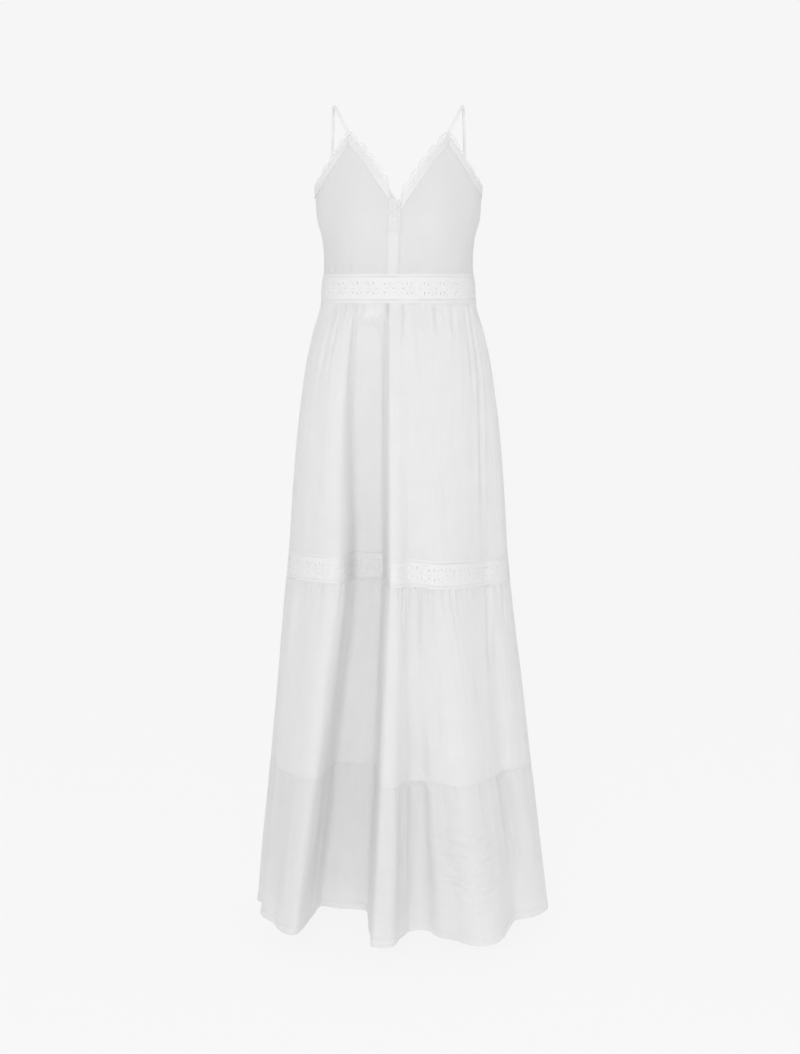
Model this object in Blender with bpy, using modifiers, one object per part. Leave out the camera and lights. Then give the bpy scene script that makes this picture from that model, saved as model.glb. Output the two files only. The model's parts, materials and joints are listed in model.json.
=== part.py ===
# White maxi dress with crochet lace trim: worn form, hollow, hung from its two shoulder straps.
# Metres, +Z up. The origin is midway between the tops of the straps, where the shoulders carry them.
# The front faces -Y. Left and right are as seen from the front, so left is -X.

import math

import bmesh
import bpy
import numpy as np

# Driving dimensions

CLOTH = 0.0015              # thickness of every cloth and lace wall
SEAM_GAP = 0.0003           # clearance between pieces that are sewn together
MITRE_GAP = 0.0010          # clearance where two edgings meet at a slant
LAID_ON = 0.0004            # clearance under the trims that lie on the bodice
STRAP_RADIUS = 0.0025
STRAP_POINTS = 20

V_BOTTOM_Z = -0.167         # lowest point of the neckline, on the cloth
APEX_Z = -0.058             # top of each cup, where the strap starts
APEX_ANGLE = 39.0           # degrees round from the centre front
SIDE_TOP_Z = -0.145         # top of the side seam, under the arm
BACK_DIP = 0.018            # how far the back's top edge dips at its centre
WAIST_TOP_Z = -0.2805       # seam between the bodice and the waist lace
LACE_HEIGHT = 0.047
UPPER_TOP_Z = WAIST_TOP_Z - LACE_HEIGHT
SKIRT_LACE_TOP_Z = -0.748
LOWER_TOP_Z = SKIRT_LACE_TOP_Z - LACE_HEIGHT
FLOUNCE_TOP_Z = -1.130
HEM_Z = -1.400
SAG_REACH = 0.200           # how far above and below the skirt lace its sag dies away

# Rows of each bodice panel, as shares of the way from its foot up to its top edge

FRONT_ROWS = (0.0, 0.10, 0.22, 0.34, 0.46, 0.58, 0.70, 0.82, 0.92, 1.0)
BACK_ROWS = (0.0, 0.10, 0.28, 0.46, 0.64, 0.82, 1.0)
NECK_COLUMNS = 8
ARM_COLUMNS = 8
BACK_COLUMNS = 22

# Height of the bodice's edge over the angle: up the V to the top of the cup, then down the armhole

EDGE_COLUMNS = ("angle", "z")
NECK_EDGE = [
    (0.0, V_BOTTOM_Z),
    (6.5, -0.1435),
    (17.0, -0.1070),
    (22.8, -0.0900),
    (30.2, -0.0730),
    (APEX_ANGLE, APEX_Z),
]
ARM_EDGE = [
    (APEX_ANGLE, APEX_Z),
    (45.0, -0.0745),
    (52.0, -0.0950),
    (62.0, -0.1170),
    (73.0, -0.1345),
    (90.0, SIDE_TOP_Z),
]

# Scalloped edging: how far it lies on the cloth, how far its notches stand past the edge, and its scallops

EDGING_ON = 0.010
EDGING_OUT = 0.003
SCALLOP_RISE = 0.006
SCALLOP_PITCH = 0.0262
SCALLOP_SHARES = (0.0, 0.30, 0.70)      # columns of each scallop; its gap lies between the last two
SCALLOP_CREST = (0.0, 1.0, 1.0)         # how much of the rise each column has
EDGING_ROWS = (-1.0, -0.25, 0.35, 1.0)  # from the inner edge, across the cloth's edge, to the scallops' rim

PLACKET_WIDTH = 0.018
PLACKET_TAPER = 0.15        # share of its width that the placket loses on its way down
PLACKET_TOP_X = -0.005      # it laps to the left of the centre, more so at its foot
PLACKET_FOOT_X = -0.010
PLACKET_TOP_Z = -0.161
PLACKET_ROWS = 9
PLACKET_SHARES = (-0.5, -0.25, 0.0, 0.25, 0.5)
PLACKET_CLEARANCE = 0.0006

# The insertion lace. Each repeat has two gaps, one above the other, between its motifs

LACE_REPEAT = 0.029
LACE_COLUMN_SHARES = (0.11, 0.89)           # the gaps lie from the last share to the next repeat's first
LACE_ROW_SHARES = (0.0, 0.22, 0.42, 0.58, 0.78, 1.0)
LACE_GAP_ROWS = (1, 3)

# Cross-sections of the outer surface: height, half width, depth before and behind the side seams

SECTION_COLUMNS = ("z", "half_width", "front", "back")
SECTIONS = [
    (-0.020, 0.1240, 0.070, 0.082),
    (-0.060, 0.1310, 0.090, 0.088),
    (-0.100, 0.1380, 0.107, 0.092),
    (-0.135, 0.1405, 0.118, 0.094),
    (-0.185, 0.1385, 0.124, 0.094),
    (-0.223, 0.1290, 0.118, 0.090),
    (-0.255, 0.1262, 0.108, 0.086),
    (-0.275, 0.1268, 0.104, 0.085),
    (-0.292, 0.1300, 0.104, 0.087),
    (-0.331, 0.1328, 0.105, 0.090),
    (-0.375, 0.1450, 0.113, 0.104),
    (-0.426, 0.1570, 0.119, 0.118),
    (-0.529, 0.1720, 0.126, 0.134),
    (-0.633, 0.1820, 0.130, 0.142),
    (-0.750, 0.1910, 0.133, 0.148),
    (-0.845, 0.2009, 0.138, 0.153),
    (-0.953, 0.2135, 0.144, 0.158),
    (-1.130, 0.2335, 0.153, 0.165),
    (-1.256, 0.2473, 0.161, 0.170),
    (-1.400, 0.2630, 0.170, 0.176),
]

# Soft fullness that the cut gives over each cup: its angle, spread, height, reach and depth

CUP = {"angle": 27.0, "spread": 17.0, "z": -0.195, "reach": 0.050, "depth": 0.008}

# Hanging folds of the skirt, named where they meet the hem: the angles of their two sides, in degrees
# round from the centre front, positive to the right, and how softly each side turns. Depth is at the
# hem, positive outwards. A fold begins at its start height and deepens with a power of its length.

FOLD_COLUMNS = ("left", "right", "left_edge", "right_edge", "depth", "start_z", "power")
FOLDS = {
    "left_edge_hollow": (-88.0, -76.0, 6.0, 6.0, -0.038, -0.84, 1.0),
    "left_fold": (-51.0, -38.0, 5.0, 3.0, 0.032, -0.80, 1.0),
    "deep_hollow": (-37.6, -11.2, 2.0, 0.9, -0.125, -0.34, 0.52),
    "centre_fold": (-11.2, 0.2, 1.2, 2.2, 0.038, -0.34, 0.8),
    "centre_hollow": (0.8, 13.0, 2.0, 3.5, -0.036, -0.99, 0.7),
    "right_fold": (25.0, 42.0, 7.0, 5.0, 0.064, -0.52, 1.1),
    "right_hollow": (50.0, 59.0, 4.0, 5.0, -0.020, -0.34, 0.15),
    "right_side_fold": (74.0, 88.0, 6.0, 6.0, 0.008, -0.90, 1.0),
    "back_side_hollow": (105.0, 114.0, 5.0, 5.0, -0.032, -0.60, 0.9),
    "back_right_fold": (124.0, 140.0, 6.0, 6.0, 0.042, -0.45, 0.9),
    "back_right_hollow": (147.0, 161.0, 4.0, 4.0, -0.068, -0.34, 0.7),
    "back_centre_fold": (169.0, 183.0, 5.0, 5.0, 0.042, -0.45, 0.9),
    "back_left_hollow": (196.0, 208.0, 4.0, 4.0, -0.076, -0.36, 0.7),
    "back_left_fold": (219.0, 237.0, 6.0, 6.0, 0.048, -0.45, 0.9),
    "back_corner_hollow": (248.0, 257.0, 5.0, 5.0, -0.026, -0.70, 0.9),
}

# The cloth's lengthwise lines lean: degrees that a line stands to the right of where it meets the hem

LEAN_COLUMNS = ("angle", "at_waist", "at_skirt_lace")
LEANS = [
    (-180.0, 0.0, 0.0),
    (-82.0, 0.0, 0.0),
    (-44.0, 3.0, 7.0),
    (-37.4, 5.0, 12.0),
    (-11.3, 3.1, 5.2),
    (7.5, 0.0, 0.0),
    (33.0, -13.0, -12.0),
    (55.0, 9.0, -4.0),
    (85.0, 0.0, 0.0),
    (180.0, 0.0, 0.0),
]

# The skirt lace sags: how far it hangs below its level, over the angle of the cloth's lines

SAG_COLUMNS = ("angle", "drop")
SAG = [
    (-180.0, 0.0),
    (-85.0, 0.003),
    (-20.0, 0.000),
    (0.0, 0.0008),
    (25.0, 0.0048),
    (55.0, 0.0105),
    (85.0, 0.0145),
    (130.0, 0.0070),
    (180.0, 0.0),
]

# Gathered tiers: gathers across a half, columns for them, their depth, and how far down they die away

GATHERS = {
    "upper_skirt": {"count": 16, "columns": 48, "depth": 0.0048, "reach": 0.085},
    "lower_skirt": {"count": 18, "columns": 54, "depth": 0.0044, "reach": 0.070},
    "flounce": {"count": 18, "columns": 54, "depth": 0.0042, "reach": 0.050},
}
SIDE_STRIP = 0.004          # width of the plain strip beside a side seam
STITCHED = 0.004            # the cloth lies flat this far below the stitches
GATHER_RISE = 0.010         # the gathers swell over this distance below that
GATHER_TAPER = 0.022        # and flatten out this close to a side seam
ROWS_BELOW_SEAM = (0.0, STITCHED, 0.016, 0.055)
LAST_ROW_SHARES = (0.42, 1.0)   # the rows below those, as shares of what is left

COLOURS = {
    "cotton": ((0.86, 0.86, 0.85, 1.0), 0.85),
    "crochet_lace": ((0.90, 0.90, 0.89, 1.0), 0.80),
    "strap_cotton": ((0.86, 0.86, 0.85, 1.0), 0.80),
}


def steady_curve(table, column=1):
    """A smooth curve through the rows of a table, over its first column, that never overshoots them."""
    rows = sorted(table)
    x = np.array([row[0] for row in rows], float)
    y = np.array([row[column] for row in rows], float)
    step = np.diff(x)
    slope = np.diff(y) / step
    tangent = np.zeros(len(x))
    for i in range(1, len(x) - 1):
        if slope[i - 1] * slope[i] > 0:
            near, far = 2 * step[i] + step[i - 1], step[i] + 2 * step[i - 1]
            tangent[i] = (near + far) / (near / slope[i - 1] + far / slope[i])
    tangent[0], tangent[-1] = slope[0], slope[-1]

    def value(at):
        at = np.clip(np.asarray(at, float), x[0], x[-1])
        i = np.clip(np.searchsorted(x, at) - 1, 0, len(step) - 1)
        t = (at - x[i]) / step[i]
        return (
            y[i] * (2 * t**3 - 3 * t**2 + 1)
            + tangent[i] * step[i] * (t**3 - 2 * t**2 + t)
            + y[i + 1] * (3 * t**2 - 2 * t**3)
            + tangent[i + 1] * step[i] * (t**3 - t**2)
        )

    return value


SECTION = {name: steady_curve(SECTIONS, k) for k, name in enumerate(SECTION_COLUMNS)}
NECK_EDGE_Z = steady_curve(NECK_EDGE)
ARM_EDGE_Z = steady_curve(ARM_EDGE)
SAG_DROP = steady_curve(SAG)
LEAN = {name: steady_curve(LEANS, k) for k, name in enumerate(LEAN_COLUMNS)}


def turned(angle):
    """An angle in degrees brought between -180 and 180."""
    return (angle + 180.0) % 360.0 - 180.0


def line_angle(line, z):
    """Where a lengthwise line of the cloth, named by its angle at the hem, stands at a height."""
    at_waist, at_lace = LEAN["at_waist"](turned(line)), LEAN["at_skirt_lace"](turned(line))
    if z > LOWER_TOP_Z:
        share = np.clip((UPPER_TOP_Z - z) / (UPPER_TOP_Z - LOWER_TOP_Z), 0, 1)
        return line + at_waist + (at_lace - at_waist) * share
    return line + at_lace * (z - HEM_Z) / (LOWER_TOP_Z - HEM_Z)


def fold_depth(line, z):
    """How far the hanging folds move the cloth's lines outwards at a height."""
    total = np.zeros_like(line)
    for row in FOLDS.values():
        fold = dict(zip(FOLD_COLUMNS, row))
        share = (fold["start_z"] - z) / (fold["start_z"] - HEM_Z)
        if share <= 0:
            continue
        middle = (fold["left"] + fold["right"]) / 2
        away = turned(line - middle)
        half = (fold["right"] - fold["left"]) / 2
        swell = np.tanh((away + half) / fold["left_edge"]) - np.tanh((away - half) / fold["right_edge"])
        total += fold["depth"] * share ** fold["power"] * swell / 2
    return total


class Ring:
    """A level section through the skirt, between two lines of the cloth, measured along the cloth."""

    SAMPLES = 1600

    def __init__(self, z, first_line, last_line):
        self.line = np.linspace(first_line, last_line, self.SAMPLES)
        turn = np.radians(line_angle(self.line, z))
        depth = np.where(np.cos(turn) > 0, SECTION["front"](z), SECTION["back"](z))
        # Folds move the cloth forwards or backwards, and outwards only near the side seams
        direction = np.stack([np.sin(turn) ** 5, -np.cos(turn)], axis=1)
        direction /= np.linalg.norm(direction, axis=1)[:, None]
        self.points = np.stack([SECTION["half_width"](z) * np.sin(turn), -depth * np.cos(turn)], axis=1)
        self.points += direction * fold_depth(self.line, z)[:, None]
        steps = np.linalg.norm(np.diff(self.points, axis=0), axis=1)
        self.along = np.concatenate([[0.0], np.cumsum(steps)])
        self.length = self.along[-1]
        tangent = np.gradient(self.points, self.along, axis=0)
        self.normal = np.stack([tangent[:, 1], -tangent[:, 0]], axis=1)

    def evenly(self, shares):
        """The cloth lines that stand at some shares of the way along."""
        return np.interp(np.array(shares) * self.length, self.along, self.line)

    def at(self, line):
        """The point and the level outward normal on a line of the cloth."""
        point = np.array([np.interp(line, self.line, self.points[:, k]) for k in range(2)])
        normal = np.array([np.interp(line, self.line, self.normal[:, k]) for k in range(2)])
        return point, normal / np.linalg.norm(normal)

    def moved(self, line, distance):
        """The line that stands a small distance along the cloth from another."""
        along = np.interp(line, self.line, self.along) + distance
        return float(np.interp(along, self.along, self.line))


def seam_inset(index, last, gap=SEAM_GAP):
    """How far the first and the last column of a panel stand in from their seams."""
    if index == 0:
        return gap / 2
    return -gap / 2 if index == last else 0.0


def half_lines(side):
    """The first and last line of a front or back half, from side seam to side seam."""
    return (-90.0, 90.0) if side == "front" else (90.0, 270.0)


def sagged(z, line):
    """A height near the skirt lace, lowered by its sag on a line of the cloth."""
    away = abs(z - (SKIRT_LACE_TOP_Z + LOWER_TOP_Z) / 2)
    return z - max(0.0, 1 - away / SAG_REACH) * float(SAG_DROP(turned(line)))


def make_material(name):
    colour, roughness = COLOURS[name]
    material = bpy.data.materials.new(name)
    material.use_nodes = True
    shader = material.node_tree.nodes["Principled BSDF"]
    shader.inputs["Base Color"].default_value = colour
    shader.inputs["Roughness"].default_value = roughness
    shader.inputs["Metallic"].default_value = 0.0
    material.diffuse_color = colour
    return material


def cloth_wall(name, rows, material, gaps=()):
    """A cloth wall: a grid laid through rows of points, foot first, with some cells left open."""
    points = np.array(rows)
    across = points.shape[1] - 1
    model = bmesh.new()
    bmesh.ops.create_grid(model, x_segments=across, y_segments=len(rows) - 1, size=0.5)
    for vert, point in zip(model.verts, points.reshape(-1, 3)):
        vert.co = point
    model.faces.ensure_lookup_table()
    open_cells = [model.faces[row * across + column] for row, column in gaps]
    bmesh.ops.delete(model, geom=open_cells, context="FACES")
    bmesh.ops.triangulate(model, faces=model.faces[:], quad_method="SHORT_EDGE")
    mesh = bpy.data.meshes.new(name)
    model.to_mesh(mesh)
    model.free()
    mesh.materials.append(material)
    mesh.shade_smooth()
    mesh.set_sharp_from_angle(angle=math.radians(40))
    made = bpy.data.objects.new(name, mesh)
    dress.objects.link(made)
    thickness = made.modifiers.new("thickness", "SOLIDIFY")
    thickness.thickness = CLOTH
    thickness.offset = -1.0
    return made


def gather_wave(share, gathers, below, from_side):
    """How far the gathers stand out, at a share of the half's width, below a seam and beside a side seam."""
    beat = 2 * math.pi * gathers["count"] * share + 1.1 * math.sin(2 * math.pi * 2.7 * share + 0.6)
    strength = 0.72 + 0.28 * math.sin(2 * math.pi * 4.1 * share + 1.0)
    below = max(0.0, below - STITCHED)
    swell = (1 - math.exp(-below / GATHER_RISE)) * math.exp(-below / gathers["reach"])
    taper = min(1.0, from_side / GATHER_TAPER)
    return gathers["depth"] * strength * swell * taper * math.sin(beat)


def gathered_tier(name, side, top_z, foot_z, material):
    """One half of a gathered tier of the skirt."""
    gathers = GATHERS[name]
    foot = Ring(foot_z, *half_lines(side))
    strip = SIDE_STRIP / foot.length
    inner_shares = np.arange(1, gathers["columns"]) / gathers["columns"]
    shares = [0.0, strip, *inner_shares, 1 - strip, 1.0]
    lines = foot.evenly(shares)
    left_over = top_z - ROWS_BELOW_SEAM[-1] - foot_z
    heights = [top_z - below for below in ROWS_BELOW_SEAM]
    heights += [heights[-1] - left_over * share for share in LAST_ROW_SHARES]
    rows = []
    for z in reversed(heights):
        ring = Ring(z, *half_lines(side))
        row = []
        for j, (share, line) in enumerate(zip(shares, lines)):
            point, normal = ring.at(ring.moved(line, seam_inset(j, len(lines) - 1)))
            from_side = min(share, 1 - share) * ring.length
            out = gather_wave(share, gathers, top_z - z, from_side)
            x, y = point + normal * out
            row.append((x, y, sagged(z, line)))
        rows.append(row)
    cloth_wall(f"{name}_{side}", rows, material)


def insertion_lace(name, side, top_z, material):
    """One half of an insertion lace, with the two largest gaps of each repeat cut through."""
    middle = Ring(top_z - LACE_HEIGHT / 2, *half_lines(side))
    repeats = round(middle.length / LACE_REPEAT)
    shares = [0.0]
    shares += [(k + part) / repeats for k in range(repeats) for part in LACE_COLUMN_SHARES]
    shares.append(1.0)
    gap_columns = [len(LACE_COLUMN_SHARES) * k for k in range(1, repeats)]
    lines = middle.evenly(shares)
    rows = []
    for down in reversed(LACE_ROW_SHARES):
        z = top_z - SEAM_GAP - down * (LACE_HEIGHT - SEAM_GAP)
        ring = Ring(z, *half_lines(side))
        row = []
        for j, line in enumerate(lines):
            x, y = ring.at(ring.moved(line, seam_inset(j, len(lines) - 1)))[0]
            row.append((x, y, sagged(z, line)))
        rows.append(row)
    gaps = [(row, column) for row in LACE_GAP_ROWS for column in gap_columns]
    cloth_wall(f"{name}_{side}", rows, material, gaps)


def bodice_surface(angle, z):
    """A point of the bodice's outer surface."""
    turn = math.radians(angle)
    front = math.cos(turn) > 0
    depth = SECTION["front" if front else "back"](z)
    across = (abs(turned(angle)) - CUP["angle"]) / CUP["spread"]
    up = (z - CUP["z"]) / CUP["reach"]
    cup = CUP["depth"] * math.exp(-(across**2) - up**2)
    return np.array([
        (SECTION["half_width"](z) + cup) * math.sin(turn),
        -(depth + cup) * math.cos(turn),
        z,
    ])


def bodice_point(angle, z, out=0.0):
    """A point of the bodice, moved off its outer surface along the surface's normal."""
    side_step, up_step = 0.1, 0.0005
    across = bodice_surface(angle + side_step, z) - bodice_surface(angle - side_step, z)
    up = bodice_surface(angle, z + up_step) - bodice_surface(angle, z - up_step)
    normal = np.cross(across, up)
    return bodice_surface(angle, z) + normal * out / np.linalg.norm(normal)


def degrees_for(distance, angle, z):
    """The angle that a level distance along the bodice takes up."""
    step = 0.5
    chord = bodice_surface(angle + step, z) - bodice_surface(angle - step, z)
    return distance * 2 * step / np.linalg.norm(chord)


def neck_edge(share):
    """A point (angle, z) of the neck edge, at a share of the way from the V to the top of the cup."""
    angle = APEX_ANGLE * share
    return angle, float(NECK_EDGE_Z(angle))


def arm_edge(share):
    """A point (angle, z) of the armhole's edge, at a share of the way from the cup to the side seam."""
    angle = APEX_ANGLE + (90 - APEX_ANGLE) * share
    return angle, float(ARM_EDGE_Z(angle))


def facing(side, rows):
    """Rows worked out for the right side, or mirrored for the left."""
    if side == "right":
        return rows
    return [[(-x, y, z) for x, y, z in reversed(row)] for row in rows]


def bodice_front(side, material):
    """One front panel, from the centre front to the side seam."""
    edge = [neck_edge(k / NECK_COLUMNS) for k in range(NECK_COLUMNS)]
    edge += [arm_edge(k / ARM_COLUMNS) for k in range(ARM_COLUMNS + 1)]
    rows = []
    for up in FRONT_ROWS:
        row = []
        for k, (angle, top_z) in enumerate(edge):
            z = WAIST_TOP_Z + (top_z - WAIST_TOP_Z) * up
            inset = seam_inset(k, len(edge) - 1)
            row.append(bodice_point(angle + degrees_for(inset, angle, z), z))
        rows.append(row)
    cloth_wall(f"bodice_front_{side}", facing(side, rows), material)


def back_edge_z(angle):
    """Height of the back's top edge, level under the arms and dipping softly at the centre."""
    return SIDE_TOP_Z - BACK_DIP * math.sin(math.radians(angle - 90)) ** 2


def bodice_back(material):
    """The back panel, from side seam to side seam."""
    rows = []
    for up in BACK_ROWS:
        row = []
        for j in range(BACK_COLUMNS + 1):
            angle = 90 + 180 * j / BACK_COLUMNS
            z = WAIST_TOP_Z + (back_edge_z(angle) - WAIST_TOP_Z) * up
            inset = seam_inset(j, BACK_COLUMNS)
            row.append(bodice_point(angle + degrees_for(inset, angle, z), z))
        rows.append(row)
    cloth_wall("bodice_back", rows, material)


def edge_direction(edge, share):
    """The direction along an edge, as a level run and a rise in metres, at unit length."""
    step = 0.01
    angle, z = edge(share)
    (angle_a, z_a), (angle_b, z_b) = edge(max(0.0, share - step)), edge(min(1.0, share + step))
    run, rise = (angle_b - angle_a) / degrees_for(1.0, angle, z), z_b - z_a
    size = math.hypot(run, rise)
    return run / size, rise / size


def mitre_lean(first, second):
    """How far along itself a strip leans, for each metre off its edge, where two strips meet in a mitre."""
    (run_a, rise_a), (run_b, rise_b) = first, second
    return math.tan(math.acos(run_a * run_b + rise_a * rise_b) / 2)


def edging(name, side, edge, start, leans, material):
    """Scalloped edging along an edge of the bodice, with the gap of each scallop cut through."""
    shares = np.linspace(start, 1, 200)
    line = np.array([bodice_point(*edge(share)) for share in shares])
    along = np.concatenate([[0], np.cumsum(np.linalg.norm(np.diff(line, axis=0), axis=1))])
    count = round(along[-1] / SCALLOP_PITCH)
    stations = [(k + part) / count for k in range(count) for part in SCALLOP_SHARES] + [1.0]
    crests = list(SCALLOP_CREST) * count + [SCALLOP_CREST[0]]
    last = len(stations) - 1
    rows = [[] for _ in EDGING_ROWS]
    for k, (station, crest) in enumerate(zip(stations, crests)):
        share = float(np.interp(station * along[-1], along, shares))
        angle, z = edge(share)
        run, rise = edge_direction(edge, share)
        lean = leans[0] * max(0.0, 1 - station * count) + leans[1] * max(0.0, 1 - (1 - station) * count)
        inset = seam_inset(k, last, MITRE_GAP) * math.hypot(1, lean)
        for row, reach_share in zip(rows, EDGING_ROWS):
            outwards = EDGING_OUT + SCALLOP_RISE * crest if reach_share > 0 else EDGING_ON
            reach = reach_share * outwards
            forward = reach * lean + inset
            level, up = forward * run - reach * rise, forward * rise + reach * run
            at = angle + degrees_for(level, angle, z)
            row.append(bodice_point(at, z + up, LAID_ON + CLOTH))
    gaps = [(len(EDGING_ROWS) - 3, 3 * k + 1) for k in range(count)]
    cloth_wall(name, facing(side, rows), material, gaps)


def placket_centre(up):
    """How far right of the centre front the placket's middle stands, at a share of the way up."""
    return PLACKET_FOOT_X + (PLACKET_TOP_X - PLACKET_FOOT_X) * up


def placket(material):
    """The narrow strip down the centre front, with its top across the foot of the V."""
    foot_z = WAIST_TOP_Z + SEAM_GAP
    rows = []
    for i in range(PLACKET_ROWS + 1):
        up = i / PLACKET_ROWS
        z = foot_z + (PLACKET_TOP_Z - foot_z) * up
        width = PLACKET_WIDTH * (1 - PLACKET_TAPER * (1 - up))
        row = []
        for share in PLACKET_SHARES:
            x = placket_centre(up) + share * width
            row.append(bodice_point(degrees_for(x, 0.0, z), z, LAID_ON + CLOTH))
        rows.append(row)
    cloth_wall("placket", rows, material)


def beside_placket(side):
    """The share of the neck edge at which its edging starts, just clear of the placket's side."""
    sign = -1 if side == "left" else 1
    distance = sign * PLACKET_TOP_X + PLACKET_WIDTH / 2 + PLACKET_CLEARANCE
    return degrees_for(distance, 0.0, V_BOTTOM_Z) / APEX_ANGLE


def smooth_route(knots, count):
    """A smooth curve through a few points, read off at even steps."""
    knots = np.array(knots, float)
    spread = np.concatenate([[0], np.cumsum(np.sqrt(np.linalg.norm(np.diff(knots, axis=0), axis=1)))])
    fine_at = np.linspace(0, spread[-1], 400)
    slopes = np.gradient(knots, spread, axis=0)
    i = np.clip(np.searchsorted(spread, fine_at) - 1, 0, len(knots) - 2)
    step = (spread[i + 1] - spread[i])[:, None]
    t = (fine_at - spread[i])[:, None] / step
    fine = (
        knots[i] * (2 * t**3 - 3 * t**2 + 1)
        + slopes[i] * step * (t**3 - 2 * t**2 + t)
        + knots[i + 1] * (3 * t**2 - 2 * t**3)
        + slopes[i + 1] * step * (t**3 - t**2)
    )
    along = np.concatenate([[0], np.cumsum(np.linalg.norm(np.diff(fine, axis=0), axis=1))])
    even = np.linspace(0, along[-1], count)
    return [tuple(np.interp(even_at, along, fine[:, k]) for k in range(3)) for even_at in even]


def strap(side, material):
    """A thin round strap from inside the cup's top, over the shoulder, to inside the back's top edge."""
    sign = -1 if side == "left" else 1
    inside = -(CLOTH + SEAM_GAP + STRAP_RADIUS)
    knots = [
        bodice_point(38.0, APEX_Z - 0.013, inside),
        bodice_point(39.5, APEX_Z + 0.003, inside),
        (0.0950, -0.0420, -0.0270),
        (0.1045, -0.0150, -0.0075),
        (0.1085, 0.0060, -STRAP_RADIUS),
        (0.1105, 0.0300, -0.0130),
        (0.1125, 0.0450, -0.0480),
        (0.1135, 0.0495, -0.1000),
        bodice_point(124.0, back_edge_z(124.0), inside),
        bodice_point(124.0, back_edge_z(124.0) - 0.016, inside),
    ]
    curve = bpy.data.curves.new(f"strap_{side}", "CURVE")
    curve.dimensions = "3D"
    curve.bevel_depth = STRAP_RADIUS
    curve.bevel_resolution = 2
    curve.use_fill_caps = True
    route = smooth_route(knots, STRAP_POINTS)
    spline = curve.splines.new("POLY")
    spline.points.add(len(route) - 1)
    for knot, (x, y, z) in zip(spline.points, route):
        knot.co = (sign * x, y, z, 1.0)
    curve.materials.append(material)
    dress.objects.link(bpy.data.objects.new(f"strap_{side}", curve))


for leftover in list(bpy.data.objects):
    bpy.data.objects.remove(leftover)
dress = bpy.data.collections.new("lace_trimmed_maxi_dress")
bpy.context.scene.collection.children.link(dress)

cotton = make_material("cotton")
crochet_lace = make_material("crochet_lace")
strap_cotton = make_material("strap_cotton")

neck_at_cup, arm_at_cup = edge_direction(neck_edge, 1.0), edge_direction(arm_edge, 0.0)
arm_at_side = edge_direction(arm_edge, 1.0)
cup_mitre = mitre_lean(neck_at_cup, arm_at_cup)
arm_leans = (-cup_mitre, arm_at_side[1] / arm_at_side[0])
for side in ("left", "right"):
    neck_start = beside_placket(side)
    neck_at_start = edge_direction(neck_edge, neck_start)
    neck_leans = (neck_at_start[1] / neck_at_start[0], cup_mitre)
    bodice_front(side, cotton)
    strap(side, strap_cotton)
    edging(f"neck_lace_{side}", side, neck_edge, neck_start, neck_leans, crochet_lace)
    edging(f"armhole_lace_{side}", side, arm_edge, 0.0, arm_leans, crochet_lace)
bodice_back(cotton)
placket(crochet_lace)
for side in ("front", "back"):
    insertion_lace("waist_lace", side, WAIST_TOP_Z, crochet_lace)
    gathered_tier("upper_skirt", side, UPPER_TOP_Z - SEAM_GAP, SKIRT_LACE_TOP_Z, cotton)
    insertion_lace("skirt_lace", side, SKIRT_LACE_TOP_Z, crochet_lace)
    gathered_tier("lower_skirt", side, LOWER_TOP_Z - SEAM_GAP, FLOUNCE_TOP_Z, cotton)
    gathered_tier("flounce", side, FLOUNCE_TOP_Z - SEAM_GAP, HEM_Z, cotton)
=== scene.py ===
# White woven cotton maxi dress with crochet lace trims, hollow as worn: its looks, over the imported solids.
# Metres, +Z up, front to -Y. Left and right are as seen from the front, so left is -X.

import json
import math

import bmesh
import bpy
import numpy as np
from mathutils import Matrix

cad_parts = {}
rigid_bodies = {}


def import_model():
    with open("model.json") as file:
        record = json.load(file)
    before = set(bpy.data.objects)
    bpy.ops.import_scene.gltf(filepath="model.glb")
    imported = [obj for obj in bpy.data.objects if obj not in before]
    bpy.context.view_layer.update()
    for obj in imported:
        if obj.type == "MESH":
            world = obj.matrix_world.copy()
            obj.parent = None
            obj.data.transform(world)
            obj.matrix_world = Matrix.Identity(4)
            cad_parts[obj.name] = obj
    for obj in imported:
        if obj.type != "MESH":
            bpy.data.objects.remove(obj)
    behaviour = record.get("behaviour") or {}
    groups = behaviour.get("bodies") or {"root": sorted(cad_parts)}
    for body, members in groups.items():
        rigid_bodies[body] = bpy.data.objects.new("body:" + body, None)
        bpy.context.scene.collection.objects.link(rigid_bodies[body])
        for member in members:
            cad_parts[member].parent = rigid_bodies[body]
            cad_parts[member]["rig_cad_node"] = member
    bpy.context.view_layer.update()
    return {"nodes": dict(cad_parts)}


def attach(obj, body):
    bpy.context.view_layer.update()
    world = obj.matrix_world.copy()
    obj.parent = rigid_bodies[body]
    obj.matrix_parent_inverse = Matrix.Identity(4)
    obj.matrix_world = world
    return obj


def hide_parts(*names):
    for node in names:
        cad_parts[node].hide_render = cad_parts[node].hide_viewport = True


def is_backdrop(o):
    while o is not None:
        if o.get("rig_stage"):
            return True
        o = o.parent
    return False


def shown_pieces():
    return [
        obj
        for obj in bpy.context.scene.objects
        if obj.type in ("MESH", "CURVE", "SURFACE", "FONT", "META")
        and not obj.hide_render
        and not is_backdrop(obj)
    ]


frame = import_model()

print("frame loaded,", len(frame["nodes"]), "solids")

# Heights and fits of the whole dress, as the solids have them

form = {
    "seamGap": 0.0003,
    "sewn": 0.00005,          # sewn edges stand this close here; the solids are further apart
    "waistTop": -0.2805,
    "laceHeight": 0.047,
    "upperTop": -0.3275,
    "skirtLaceTop": -0.748,
    "lowerTop": -0.795,
    "flounceTop": -1.130,
    "hem": -1.400,
    "sagReach": 0.200,
    "foldEase": 0.030,        # each fold begins over this much height
    "sideTop": -0.145,
    "backDip": 0.018,
    "apexAngle": 39.0,
    "apexTop": -0.058,
    "vBottom": -0.167,
    "solidWall": 0.0015,
}

# Level sections of the outer surface: height, half width, depth before and behind the side seams

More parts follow.
